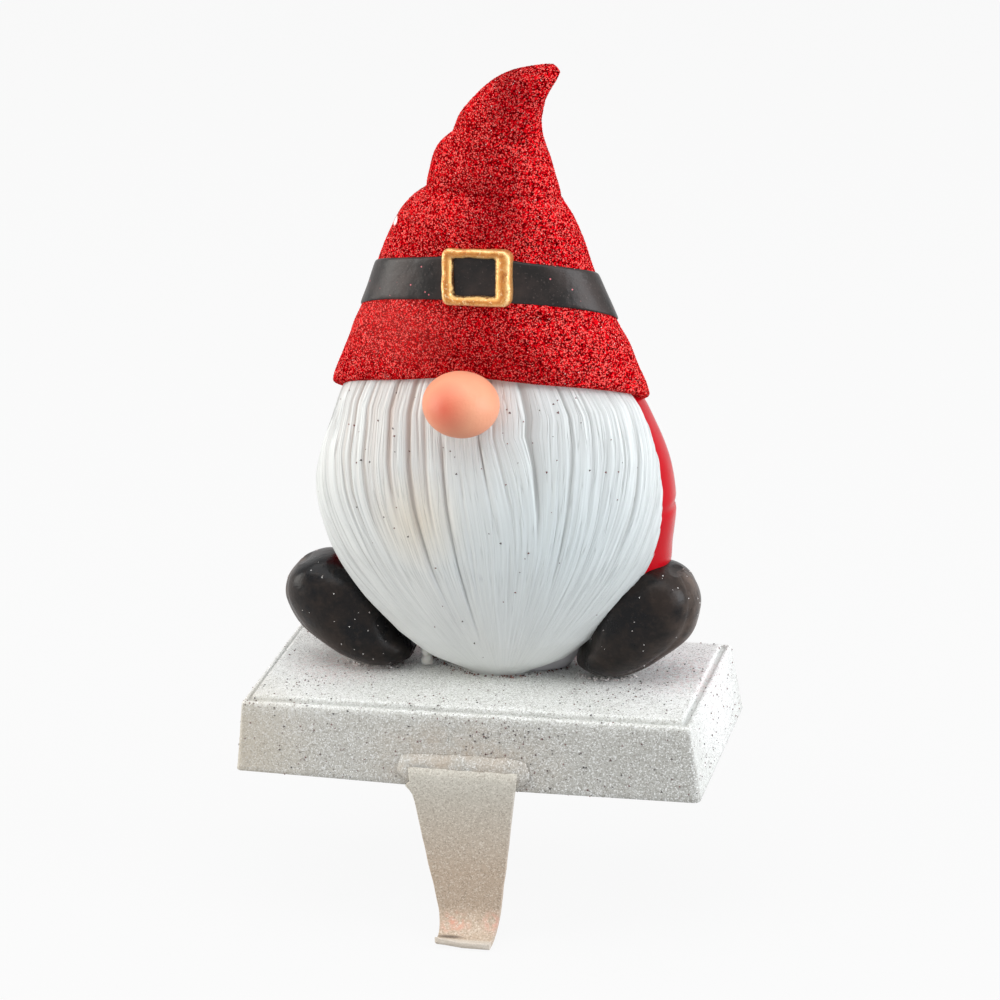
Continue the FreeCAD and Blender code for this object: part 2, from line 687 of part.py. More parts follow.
os.makedirs("parts", exist_ok=True)
nodes = [base, pad, hook, weld, figure, glue]
for node in nodes:
    if node.Shape.isNull() or not node.Shape.isValid():
        raise RuntimeError("%s has no valid shape" % node.Label)
for node in nodes:
    node.Shape.exportStep("parts/%s.step" % node.Label)
    box = node.Shape.BoundBox
    print("%-14s solids %d  volume %9.1f  x %.1f..%.1f  y %.1f..%.1f  z %.1f..%.1f" % (
        node.Label, len(node.Shape.Solids), node.Shape.Volume,
        box.XMin, box.XMax, box.YMin, box.YMax, box.ZMin, box.ZMax))
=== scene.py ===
import math

import bpy
from mathutils import Matrix, Vector, noise


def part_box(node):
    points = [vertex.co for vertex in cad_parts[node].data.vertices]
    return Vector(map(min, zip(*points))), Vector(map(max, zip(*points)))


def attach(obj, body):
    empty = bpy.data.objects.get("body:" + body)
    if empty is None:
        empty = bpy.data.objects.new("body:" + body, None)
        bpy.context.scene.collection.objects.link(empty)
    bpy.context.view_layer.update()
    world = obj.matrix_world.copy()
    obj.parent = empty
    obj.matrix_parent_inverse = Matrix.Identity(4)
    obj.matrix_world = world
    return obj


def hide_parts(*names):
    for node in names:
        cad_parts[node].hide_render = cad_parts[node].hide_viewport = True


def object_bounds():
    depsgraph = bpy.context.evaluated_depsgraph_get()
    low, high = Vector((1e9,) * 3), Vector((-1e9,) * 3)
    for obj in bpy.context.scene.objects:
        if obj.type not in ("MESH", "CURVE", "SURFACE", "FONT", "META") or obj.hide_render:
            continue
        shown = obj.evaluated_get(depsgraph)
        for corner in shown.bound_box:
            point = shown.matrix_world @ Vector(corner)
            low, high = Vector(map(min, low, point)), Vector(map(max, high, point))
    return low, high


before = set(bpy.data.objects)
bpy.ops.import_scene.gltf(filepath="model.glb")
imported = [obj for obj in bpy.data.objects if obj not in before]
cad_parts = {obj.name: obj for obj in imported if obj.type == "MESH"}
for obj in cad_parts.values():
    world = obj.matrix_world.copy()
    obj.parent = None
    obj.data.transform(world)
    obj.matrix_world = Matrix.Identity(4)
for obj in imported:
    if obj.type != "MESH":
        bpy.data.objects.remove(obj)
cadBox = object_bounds()
mm = 0.001

baseLow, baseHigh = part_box("base_block")
glueLow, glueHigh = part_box("glue_bead")
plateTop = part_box("gnome_figure")[0][2]   # the figure stands on the base's top plate
rimZ = baseHigh[2] - 1 * mm               # upper edge of the base's drafted sides
figureX = 2.6 * mm                        # middle of the figure, a little right of the base's middle


# small tools for numbers

def clamp(value):
    return min(1, max(0, value))


def bump(distance, width):
    return math.exp(-(distance / width) ** 2)


def soft(point, scale, seed):
    # smooth noise from -1 to 1
    return noise.noise(Vector(point) / scale + Vector((seed, 2 * seed, 3 * seed)))


def circle(count):
    # angle, cosine and sine of each point round a ring
    turns = [2 * math.pi * index / count for index in range(count)]
    return [(turn, math.cos(turn), math.sin(turn)) for turn in turns]


def fullReach(c, s, power):
    # stretches a circle towards its square; power 2 leaves it round
    return (abs(c) ** power + abs(s) ** power) ** (-1 / power)


def easedRow(rows, place):
    # smooth value between rows of numbers: place 0 is the first row, 1 the last
    spot = clamp(place) * (len(rows) - 1)
    index = min(int(spot), len(rows) - 2)
    share = spot - index
    before, start, end = rows[max(index - 1, 0)], rows[index], rows[index + 1]
    after = rows[min(index + 2, len(rows) - 1)]
    return [0.5 * (2 * b + (c - a) * share + (2 * a - 5 * b + 4 * c - d) * share ** 2
                   + (3 * b - a - 3 * c + d) * share ** 3)
            for a, b, c, d in zip(before, start, end, after)]


def roundedLoop(halfX, halfY, radius, perSide, perCorner):
    # points round a rectangle with rounded corners, from the right end of its first corner
    arcs = []
    for signX, signY, start in ((1, 1, 0), (-1, 1, 90), (-1, -1, 180), (1, -1, 270)):
        x, y = signX * (halfX - radius), signY * (halfY - radius)
        turns = [math.radians(start + 90 * step / perCorner) for step in range(perCorner + 1)]
        arcs.append([(x + radius * math.cos(turn), y + radius * math.sin(turn)) for turn in turns])
    points = []
    for arc, after in zip(arcs, arcs[1:] + arcs[:1]):
        (fromX, fromY), (endX, endY) = arc[-1], after[0]
        shares = [step / perSide for step in range(1, perSide)]
        points += arc + [(fromX + (endX - fromX) * share, fromY + (endY - fromY) * share) for share in shares]
    return points


# small tools for meshes

def addObject(name, data):
    item = bpy.data.objects.new(name, data)
    bpy.context.scene.collection.objects.link(item)
    return item


def smoothFaces(mesh):
    mesh.polygons.foreach_set("use_smooth", [True] * len(mesh.polygons))


def bakedMesh(item, name):
    # the mesh of an object with its modifiers applied; the object itself goes
    graph = bpy.context.evaluated_depsgraph_get()
    mesh = bpy.data.meshes.new_from_object(item.evaluated_get(graph))
    mesh.name = name
    bpy.data.objects.remove(item)
    return mesh


def makePiece(name, points, faces):
    mesh = bpy.data.meshes.new(name)
    mesh.from_pydata([tuple(point) for point in points], [], faces)
    mesh.update()
    smoothFaces(mesh)
    return addObject(name, mesh)


def ringFaces(rings, columns, start=0, closed=True):
    # quads between rows of points, all rows as long as the first
    faces = []
    for row in range(rings - 1):
        low, high = start + row * columns, start + (row + 1) * columns
        for here in range(columns if closed else columns - 1):
            beside = (here + 1) % columns
            faces.append((low + here, low + beside, high + beside, high + here))
    return faces


def closedSkin(name, rings):
    # closed skin over rows of rings, with a point in the middle of each end
    columns = len(rings[0])
    points = [point for ring in rings for point in ring]
    faces = ringFaces(len(rings), columns)
    for ring, flip in ((0, True), (len(rings) - 1, False)):
        points.append(sum(rings[ring], Vector()) / columns)
        middle = len(points) - 1
        for column in range(columns):
            here = ring * columns + column
            beside = ring * columns + (column + 1) % columns
            faces.append((middle, beside, here) if flip else (middle, here, beside))
    return makePiece(name, points, faces)


def closedBand(name, rings):
    # closed skin over rings whose last one joins the first
    points = [point for ring in rings for point in ring]
    faces = ringFaces(len(rings) + 1, len(rings[0]))
    return makePiece(name, points, [tuple(index % len(points) for index in face) for face in faces])


def pointValues(piece, name, values):
    layer = piece.data.attributes.new(name, "FLOAT", "POINT")
    layer.data.foreach_set("value", values)


def weigh(piece, name, share):
    # a value for each point of a piece, from its place
    pointValues(piece, name, [share(vertex.co) for vertex in piece.data.vertices])


def wear(piece, material):
    piece.data.materials.clear()
    piece.data.materials.append(material)


def finishPiece(piece, slot, *nodes):
    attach(piece, "root")
    if nodes:
        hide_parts(*nodes)
    return piece


def dress(piece, material, slot, *nodes):
    wear(piece, material)
    return finishPiece(piece, slot, *nodes)


# small tools for nodes

def fill(tree, socket, value):
    if isinstance(value, bpy.types.NodeSocket):
        tree.links.new(value, socket)
    else:
        socket.default_value = value


def addNode(tree, kind, inputs=None, **settings):
    node = tree.nodes.new(kind)
    for key, value in settings.items():
        setattr(node, key, value)
    for key, value in (inputs or {}).items():
        fill(tree, node.inputs[key], value)
    return node


def combine(tree, operation, first, second=0.5):
    return addNode(tree, "ShaderNodeMath", {0: first, 1: second}, operation=operation).outputs[0]


def tone(red, green, blue):
    # display colour 0..255 to the shader's linear colour
    def linear(value):
        value /= 255
        return value / 12.92 if value <= 0.04045 else ((value + 0.055) / 1.055) ** 2.4
    return (linear(red), linear(green), linear(blue), 1)


class Paint:
    # one node material whose colour is laid on in coats; places and sizes are in millimetres
    def __init__(self, name):
        self.material = bpy.data.materials.new(name)
        self.material.use_nodes = True
        self.tree = self.material.node_tree
        self.shader = self.tree.nodes["Principled BSDF"]
        self.place = self.add("ShaderNodeTexCoord").outputs["Object"]
        self.color = None

    def add(self, kind, inputs=None, **settings):
        return addNode(self.tree, kind, inputs, **settings)

    def math(self, operation, first, second=0.5):
        return combine(self.tree, operation, first, second)

    def named(self, attribute):
        return self.add("ShaderNodeAttribute", attribute_name=attribute).outputs["Fac"]

    def axis(self, letter, place=None):
        return self.add("ShaderNodeSeparateXYZ", {0: place or self.place}).outputs[letter]

    def noise(self, size, detail=3, roughness=0.5, place=None):
        # size is the width of a blot, in units of the place if one is given
        scale = 1 / size if place else 1 / (size * mm)
        return self.add("ShaderNodeTexNoise", {"Vector": place or self.place, "Scale": scale, "Detail": detail,
                                               "Roughness": roughness}).outputs["Fac"]

    def cells(self, size):
        return self.add("ShaderNodeTexVoronoi", {"Vector": self.place, "Scale": 1 / (size * mm)}).outputs

    def grains(self, size, channel=0):
        # cells, and one random value for each of them
        cells = self.cells(size)
        return cells, self.add("ShaderNodeSeparateColor", {0: cells["Color"]}).outputs[channel]

    def ramp(self, value, low, high, start=0.0, end=1.0):
        return self.add("ShaderNodeMapRange", {"Value": value, "From Min": low, "From Max": high,
                                               "To Min": start, "To Max": end}).outputs["Result"]

    def mix(self, share, first, second):
        return self.add("ShaderNodeMix", {0: share, 6: first, 7: second}, data_type="RGBA").outputs[2]

    def blend(self, share, first, second):
        # the first coat, between two display colours
        self.color = self.mix(share, tone(*first), tone(*second))

    def lay(self, share, color, amount=1):
        # a display colour over the coats so far
        if amount != 1:
            share = self.math("MULTIPLY", share, amount)
        self.color = self.mix(share, self.color, tone(*color))

    def vector(self, operation, first, second, key=1):
        return self.add("ShaderNodeVectorMath", {0: first, key: second}, operation=operation).outputs[0]

    def near(self, middle, inner, outer, stretch=(1, 1, 1), origin=(0, 0, plateTop)):
        # 1 within the inner distance of a point, fading to 0 at the outer one
        middle = [start + value * mm for start, value in zip(origin, middle)]
        scaled = self.vector("MULTIPLY", self.vector("SUBTRACT", self.place, middle), stretch)
        away = self.add("ShaderNodeVectorMath", {0: scaled}, operation="LENGTH").outputs["Value"]
        return self.ramp(away, inner * mm, outer * mm, 1, 0)

    def relief(self, height, depth, strength, under=None):
        node = self.add("ShaderNodeBump", {"Height": height, "Distance": depth * mm, "Strength": strength})
        if under:
            fill(self.tree, node.inputs["Normal"], under)
        return node.outputs["Normal"]

    def facets(self, cells, amount):
        # each grain of glitter faces its own way
        normal = self.add("ShaderNodeNewGeometry").outputs["Normal"]
        offset = self.vector("SUBTRACT", cells["Color"], (0.5, 0.5, 0.5))
        summed = self.vector("ADD", normal, self.vector("SCALE", offset, amount, "Scale"))
        return self.add("ShaderNodeVectorMath", {0: summed}, operation="NORMALIZE").outputs[0]

    def finish(self, **inputs):
        for key, value in {"Base_Color": self.color, **inputs}.items():
            fill(self.tree, self.shader.inputs[key.replace("_", " ")], value)
        return self.material


# loose grains, scattered by geometry nodes as small closed chips

grains = {
    "hatGlitter": {"density": 4.6e6, "radius": 0.2 * mm, "height": 0.45, "tilt": 0.5, "seed": 11,
                   "sizes": (0.6, 1.15)},
    "beardSpecks": {"density": 3.6e4, "radius": 0.36 * mm, "height": 0.6, "tilt": 0.5, "seed": 5,
                    "sizes": (0.5, 1.1)},
    "bootSpecks": {"density": 7.5e4, "radius": 0.25 * mm, "height": 0.7, "tilt": 0.5, "seed": 31,
                   "sizes": (0.5, 1.1)},
    "baseGlitter": {"density": 3.2e6, "radius": 0.16 * mm, "height": 0.5, "tilt": 0.5, "seed": 23,
                    "sizes": (0.5, 1.2)},
    "darkFlecks": {"density": 2.2e5, "radius": 0.33 * mm, "height": 0.75, "tilt": 0.4, "seed": 41,
                   "sizes": (0.4, 1.1)},
    "glueCrumbs": {"density": 4.2e6, "radius": 0.38 * mm, "height": 0.8, "tilt": 0.7, "seed": 3,
                   "sizes": (0.4, 1.1)},
    "soleCrust": {"density": 5e6, "radius": 0.34 * mm, "height": 0.8, "tilt": 0.7, "seed": 9,
                  "sizes": (0.4, 1.2)},
}


def chipTree(name, material, grain, attribute):
    tree = bpy.data.node_groups.new(name + "Tree", "GeometryNodeTree")
    tree.is_modifier = True
    sockets = {"Geometry": "NodeSocketGeometry", "Chips per m2": "NodeSocketFloat",
               "Chip radius": "NodeSocketFloat", "Tilt": "NodeSocketFloat", "Seed": "NodeSocketInt"}
    for label, kind in sockets.items():
        tree.interface.new_socket(name=label, in_out="INPUT", socket_type=kind)
    tree.interface.new_socket(name="Geometry", in_out="OUTPUT", socket_type="NodeSocketGeometry")

    def add(kind, inputs=None, **settings):
        return addNode(tree, kind, inputs, **settings).outputs

    given = add("NodeGroupInput")
    radius, tilt, seed = given["Chip radius"], given["Tilt"], given["Seed"]
    share = add("GeometryNodeInputNamedAttribute", {"Name": attribute})["Attribute"]
    spread = add("GeometryNodeDistributePointsOnFaces", {
        "Mesh": given["Geometry"], "Density": combine(tree, "MULTIPLY", share, given["Chips per m2"]),
        "Seed": seed})
    chip = add("GeometryNodeMeshCone", {   # three sides and a foot: a closed chip
        "Vertices": 3, "Radius Top": 0, "Radius Bottom": radius,
        "Depth": combine(tree, "MULTIPLY", radius, grain["height"])})
    back = combine(tree, "MULTIPLY", tilt, -1)
    least = add("ShaderNodeCombineXYZ", {"X": back, "Y": back})[0]
    most = add("ShaderNodeCombineXYZ", {"X": tilt, "Y": tilt, "Z": 2 * math.pi})[0]
    lean = add("FunctionNodeRandomValue", {0: least, 1: most, "Seed": seed}, data_type="FLOAT_VECTOR")[0]
    turned = add("FunctionNodeRotateRotation", {
        "Rotation": spread["Rotation"], "Rotate By": add("FunctionNodeEulerToRotation", {0: lean})[0]},
        rotation_space="LOCAL")[0]
    smallest, largest = grain["sizes"]
    placed = add("GeometryNodeInstanceOnPoints", {
        "Points": spread["Points"], "Instance": chip["Mesh"], "Rotation": turned,
        "Scale": add("FunctionNodeRandomValue", {2: smallest, 3: largest})[1]})[0]
    toned = add("GeometryNodeStoreNamedAttribute", {
        "Geometry": placed, "Name": "chipTone", "Value": add("FunctionNodeRandomValue", {"Seed": 7})[1]},
        domain="INSTANCE")[0]
    real = add("GeometryNodeRealizeInstances", {0: toned})[0]
    add("NodeGroupOutput", {0: add("GeometryNodeSetMaterial", {"Geometry": real, "Material": material})[0]})
    return tree


def scatterChips(name, host, material, slot, grain, attribute="chipShare"):
    carrier = addObject(name + "Carrier", host.data.copy())
    modifier = carrier.modifiers.new("chips", "NODES")
    modifier.node_group = chipTree(name, material, grain, attribute)
    values = {"Chips per m2": grain["density"], "Chip radius": grain["radius"], "Tilt": grain["tilt"],
              "Seed": grain["seed"]}
    for item in modifier.node_group.interface.items_tree:
        if item.in_out == "INPUT" and item.name in values:
            modifier[item.identifier] = values[item.name]
    chips = addObject(name, bakedMesh(carrier, name))
    print(name, len(chips.data.polygons), "faces")
    return finishPiece(chips, slot)


# hat: three soft folds over an oval brim that lifts at the front

hat = {
    "brimWidth": 73 * mm, "brimDepth": 34 * mm, "brimLift": 8 * mm, "height": 76.55 * mm,
    "middleX": figureX + 0.8 * mm, "setback": 2 * mm, "brimZ": plateTop + 68 * mm,
    "columns": 168, "rows": (78, 34, 48), "noseArch": 1.6 * mm, "dents": 0.85 * mm, "beltRise": 0.213,
    "turnedIn": ((0.8, 0.01), (0.93, 0.002)),   # under the brim: share of its size, share of the height
    "tipEnd": (0.7, 0.35),                      # shares of the last ring, for a rounded tip
}

# soft folds of the brim: both ends (x, height over the plate), height and width of the fold
brimFolds = [(-12, 91, -1, 86, 1.0, 2.8), (12, 93, 20, 92, 0.8, 2.4), (14, 91, 27, 88.5, -0.9, 1.6),
             (17, 84, 26, 80, 0.8, 3.5), (-24, 84, -17, 74, 0.7, 3.0), (2, 117, 12, 112, -0.8, 2.5),
             (-9, 112, -4, 108, 0.8, 3.5), (17, 120, 22, 108, 0.7, 3.0)]

# hat rings: left end (across, up), right end (across, up), half depth, lift of the front
lowerFold = [
    (-0.97, 0.0, 0.985, 0.0, 0.955, 1.0), (-0.99, 0.022, 1.003, 0.02, 1.0, 1.0),
    (-0.888, 0.128, 0.935, 0.125, 0.94, 1.0), (-0.776, 0.252, 0.824, 0.241, 0.86, 0.95),
    (-0.662, 0.391, 0.706, 0.378, 0.75, 0.73), (-0.591, 0.477, 0.643, 0.476, 0.68, 0.56),
    (-0.508, 0.544, 0.585, 0.54, 0.62, 0.4), (-0.407, 0.598, 0.534, 0.579, 0.56, 0.25),
    (-0.325, 0.63, 0.504, 0.602, 0.505, 0.15),
]
middleFold = [
    lowerFold[-1], (-0.324, 0.661, 0.493, 0.639, 0.505, 0.1), (-0.292, 0.717, 0.463, 0.704, 0.455, 0.05),
    (-0.232, 0.761, 0.436, 0.75, 0.4, 0.0), (-0.146, 0.797, 0.412, 0.79, 0.355, 0.0),
]
tipFold = [
    middleFold[-1], (-0.1, 0.847, 0.402, 0.824, 0.345, 0.0), (-0.02, 0.889, 0.411, 0.853, 0.32, 0.0),
    (0.118, 0.947, 0.436, 0.889, 0.265, 0.0), (0.262, 0.98, 0.481, 0.923, 0.19, 0.0),
    (0.416, 0.996, 0.521, 0.95, 0.115, 0.0), (0.499, 0.9987, 0.545, 0.974, 0.055, 0.0),
]


def hatPoint(ring, turn, grow=0.0):
    # turn 0 is the hat's right end, 270 degrees its front
    leftX, leftZ, rightX, rightZ, depth, lift = ring
    half = hat["brimWidth"] / 2
    left = Vector((hat["middleX"] + leftX * half, hat["setback"], hat["brimZ"] + leftZ * hat["height"]))
    right = Vector((hat["middleX"] + rightX * half, hat["setback"], hat["brimZ"] + rightZ * hat["height"]))
    across = (right - left) / 2
    across *= 1 + grow / across.length
    front = Vector((0, -depth * hat["brimDepth"] / 2 - grow, lift * hat["brimLift"]))
    return (left + right) / 2 + across * math.cos(turn) - front * math.sin(turn)


def foldHeight(point):
    total = 0.0
    for x1, z1, x2, z2, height, width in brimFolds:
        along = Vector((x2 - x1, z2 - z1))
        spot = Vector((point.x / mm - x1, (point.z - plateTop) / mm - z1))
        share = clamp(spot.dot(along) / along.length_squared)
        total += height * mm * bump((spot - along * share).length, width)
    return total


def hatSkinPoint(ring, turn, rise):
    point = hatPoint(ring, turn)
    outward = Vector((math.cos(turn), math.sin(turn), 0))
    fade = min(1, rise * 12) * min(1, (1 - rise) * 6) * (1 - bump(rise - hat["beltRise"], 0.045))
    dent = soft(point, 17 * mm, 4.1) + 0.5 * soft(point, 7 * mm, 7.7)
    point += outward * hat["dents"] * dent * fade
    if math.sin(turn) < 0:   # the front half: folds, and an arch over the nose
        point += outward * foldHeight(point) * fade
        point.z += hat["noseArch"] * bump(point.x - figureX, 9 * mm) * max(0, 1 - rise * 14)
    return point


def makeHat():
    turns = [turn for turn, c, s in circle(hat["columns"])]
    first, last = lowerFold[0], tipFold[-1]
    rings = []
    for share, up in hat["turnedIn"]:
        inner = (first[0] * share, up, first[2] * share, up, first[4] * share, first[5] * share)
        rings.append([hatSkinPoint(inner, turn, 0) for turn in turns])
    total, done = sum(hat["rows"]), 0
    for fold, count in zip((lowerFold, middleFold, tipFold), hat["rows"]):
        for step in range(count):
            ring = easedRow(fold, step / count)
            rings.append([hatSkinPoint(ring, turn, (done + step) / total) for turn in turns])
        done += count
    rings.append([hatPoint(last, turn) for turn in turns])
    middle = ((last[0] + last[2]) / 2, (last[1] + last[3]) / 2)
    for share in hat["tipEnd"]:
        closing = [middle[index % 2] + (last[index] - middle[index % 2]) * share for index in range(4)]
        rings.append([hatPoint(closing + [last[4] * share, 0], turn) for turn in turns])
    piece = closedSkin("gnomeHat", rings)
    shares = []
    for ring in range(len(rings)):   # no glitter inside the brim and under the belt
        bare = ring < 2 or abs((ring - 2) / total - hat["beltRise"]) < 0.031
        shares += [0.0 if bare else 1.0] * hat["columns"]
    pointValues(piece, "chipShare", shares + [0.0, 1.0])
    return piece


# belt: a flat band round the hat, with soft edges; buckle: a rounded square frame, hand finished

belt = {"raise": 0.5 * mm, "low": lowerFold[3], "high": lowerFold[4], "columns": 220, "wave": 0.25 * mm,
        "lumps": 0.16 * mm, "window": 6.2 * mm}
buckle = {"width": 15.8 * mm, "height": 12.6 * mm, "radius": 1.9 * mm, "raise": 1.7 * mm, "sink": 2.2 * mm,
          "shift": 1.6 * mm, "place": 0.58, "lumps": 0.22 * mm, "perSide": 26, "perCorner": 8,
          "bars": (2.7 * mm, 3.7 * mm, 2.1 * mm, 2.3 * mm)}   # left, right, top and bottom

# across the belt and across a bar of the buckle: share of the width, share of the raise
beltProfile = [(0.0, -0.8), (0.0, 0.35), (0.012, 0.75), (0.05, 0.98), (0.12, 1.0), (0.25, 1.0), (0.38, 1.0),
               (0.5, 1.0), (0.62, 1.0), (0.75, 1.0), (0.88, 1.0), (0.95, 0.98), (0.988, 0.75), (1.0, 0.35),
               (1.0, -0.8)]
barProfile = [(0.0, -1.0), (0.0, 0.35), (0.06, 0.72), (0.2, 0.95), (0.38, 1.0), (0.6, 0.97), (0.78, 0.82),
              (0.93, 0.5), (1.0, 0.1), (1.0, -1.0)]


def makeBelt():
    rings = []
    for share, raised in beltProfile:
        level = [a + (b - a) * share for a, b in zip(belt["low"], belt["high"])]
        ring = []
        for turn, c, s in circle(belt["columns"]):
            point = hatPoint(level, turn, belt["raise"] * raised)
            point.z += belt["wave"] * soft(point, 11 * mm, 1.3)
            if s < 0:   # a little wider behind the buckle
                window = bump(point.x - hat["middleX"] - buckle["shift"], belt["window"]) ** 0.5
                point.z += (1.3 * share - 0.2) * mm * window
            point += Vector((c, s, 0)) * belt["lumps"] * soft(point, 5 * mm, 9.2)
            ring.append(point)
        rings.append(ring)
    return closedBand("hatBelt", rings)


def makeBuckle():
    low, high = (hatPoint(belt[edge], 1.5 * math.pi, belt["raise"]) for edge in ("low", "high"))
    upward = (high - low).normalized()
    outward = Vector((0, -upward.z, upward.y))
    middle = low + (high - low) * buckle["place"] + Vector((buckle["shift"], 0, 0))
    barLeft, barRight, barTop, barBottom = buckle["bars"]
    rings = []
    for across, height in barProfile:
        radius = max(buckle["radius"] - 1.3 * mm * across, 0.5 * mm)
        wide = buckle["width"] - (barLeft + barRight) * across
        tall = buckle["height"] - (barTop + barBottom) * across
        asideX, asideZ = (barLeft - barRight) / 2 * across, (barBottom - barTop) / 2 * across
        rise = buckle["raise"] * height if height > 0 else -buckle["sink"]
        ring = []
        for x, z in roundedLoop(wide / 2, tall / 2, radius, buckle["perSide"], buckle["perCorner"]):
            point = middle + Vector((x + asideX, 0, 0)) + upward * (z + asideZ) + outward * rise
            point += buckle["lumps"] * Vector((soft(point, 3.5 * mm, 2.2), soft(point, 3 * mm, 5.1),
                                               soft(point, 3.5 * mm, 8.3)))
            ring.append(point)
        rings.append(ring)
    piece = closedBand("beltBuckle", rings)
    pointValues(piece, "across", [across for across, height in barProfile for point in rings[0]])
    return piece


# nose: a soft egg, fuller on its left

nose = {"width": 17.2 * mm, "height": 14.6 * mm, "depth": 16.6 * mm, "columns": 96, "rows": 60,
        "x": figureX + 0.5 * mm, "y": hat["setback"] - hat["brimDepth"] / 2 - 5 * mm,
        "z": hat["brimZ"] + hat["brimLift"] - 0.23 * 14.6 * mm}


def makeNose():
    rings = []
    for row in range(1, nose["rows"]):
        up = math.pi * (row / nose["rows"] - 0.5)
        ring = []
        for turn, c, s in circle(nose["columns"]):
            x, y, z = math.cos(up) * c, math.cos(up) * s, math.sin(up)
            full = 1 + 0.035 * math.cos(turn - 1.1 * math.pi) * math.cos(up) - 0.03 * z * x
            point = Vector((nose["x"] + nose["width"] / 2 * x * full, nose["y"] + nose["depth"] / 2 * y,
                            nose["z"] + nose["height"] / 2 * z * full))
            ring.append(point * (1 + 0.0006 * soft(point, 5 * mm, 3.3)))
        rings.append(ring)
    return closedSkin("gnomeNose", rings)


# beard: one carved front, whose locks gather towards the foot

beard = {
    "width": 81.6 * mm, "swell": 19.5 * mm, "height": 68 * mm, "setback": 1 * mm,
    "columns": 440, "backColumns": 20, "rows": 200, "lowest": -0.012, "span": 1.162,
    "gatherAngle": 97, "gatherAtFoot": 0.36, "backSwell": 0.22,
    "lockDepth": 0.68 * mm, "strandDepth": 0.4 * mm, "hairDepth": 0.13 * mm,
}

# beard sections: height, half width and swell
beardSections = [
    (-0.012, 0.13, 0.10), (0.07, 0.40, 0.40), (0.16, 0.585, 0.62), (0.29, 0.775, 0.82),
    (0.43, 0.915, 0.95), (0.56, 0.98, 1.0), (0.69, 0.995, 1.0), (0.82, 0.95, 0.94),
    (0.92, 0.885, 0.86), (1.0, 0.83, 0.78), (1.08, 0.755, 0.69), (1.15, 0.66, 0.6),
]

# the main grooves: strand angle, depth, lowest and highest level, and the side that slopes gently
beardGrooves = [
    (-52, 0.5, 0.1, 0.5, 1), (-36, 0.6, 0.1, 0.6, 1), (-20, 0.5, 0.15, 0.7, -1), (-8, 0.8, 0.1, 0.9, 1),
    (4, 0.6, 0.2, 1.2, 1), (13, 0.7, 0.3, 1.2, -1), (21, 0.6, 0.2, 1.2, 1), (28, 0.5, 0.4, 1.2, 1),
    (34, 1.0, 0.25, 1.2, -1), (43, 0.6, 0.45, 1.2, 1), (50, 0.5, 0.3, 1.2, -1), (57, 0.9, 0.6, 1.2, 1),
    (66, 1.1, 0.3, 1.2, 1), (73, 0.5, 0.5, 1.1, -1), (80, 0.8, 0.15, 0.98, 1), (88, 0.35, 0.3, 0.9, 1),
    (101, 0.9, 0.6, 1.02, -1), (109, 0.4, 0.5, 1.2, 1), (119, 1.15, 0.5, 1.2, 1), (131, 0.9, 0.35, 1.2, -1),
    (140, 0.4, 0.5, 1.2, 1), (148, 0.6, 0.3, 1.2, -1), (158, 0.5, 0.35, 1.2, 1), (168, 0.9, 0.4, 1.2, -1),
    (178, 0.5, 0.3, 1.2, 1), (190, 0.7, 0.2, 0.95, -1), (204, 0.5, 0.15, 0.8, 1), (220, 0.6, 0.1, 0.65, -1),
    (238, 0.5, 0.1, 0.5, 1),
]


def levelShape(level):
    # half width and swell at a level of the beard
    last = len(beardSections) - 1
    for upper in range(1, last + 1):
        low, high = beardSections[upper - 1][0], beardSections[upper][0]
        if level <= high or upper == last:
            return easedRow(beardSections, (upper - 1 + (level - low) / (high - low)) / last)[1:]


def strandAngle(angle, level):
    # the angle at the brim of the strand that passes here: all gather towards the foot
    keep = min(1, beard["gatherAtFoot"] + (1 - beard["gatherAtFoot"]) * max(0, level))
    middle = beard["gatherAngle"] + 8 * max(0, 0.5 - level)
    sweep = 9 * bump(angle - 103, 14) * clamp((level - 0.52) / 0.42) ** 1.5   # beside the nose
    return middle + (angle - middle) / keep + sweep


def carving(angle, level):
    # depth of the carving here, in metres: edges of locks, strands and fine hairs
    strand = strandAngle(angle, level)
    wander = 1.3 * noise.noise(Vector((strand / 22, level * 0.9, 5.5)))
    depth = 0.0
    for start, share, low, high, gentle in beardGrooves:
        away = (strand + wander - start) * gentle
        ends = clamp((level - low) * 4) * clamp((high - level) * 10)
        if ends and -4 < away < 11:
            edge = bump(away, 0.8) if away < 0 else 0.5 * bump(away, 0.8) + 0.5 * math.exp(-away / 2.8)
            depth += beard["lockDepth"] * share * ends * edge
    sides = 0.3 + 0.7 * min(1, abs(angle - 98) / 40)
    upper = 0.3 + 0.7 * clamp((level - 0.12) * 2)
    drift = 2 * noise.noise(Vector((strand / 14, level * 1.3, 3.3)))
    ridge = abs(noise.noise(Vector((strand / 3.2 + drift * 0.3, level * 1.1, 1.7))))
    fine = abs(noise.noise(Vector((strand / 1.5 + drift, level * 2.6, 9.4))))
    depth += beard["strandDepth"] * sides * upper * (0.42 - min(ridge, 0.42)) * 1.5
    depth += beard["hairDepth"] * (0.35 + 0.65 * upper) * (0.4 - min(fine, 0.4)) * 1.8
    return depth


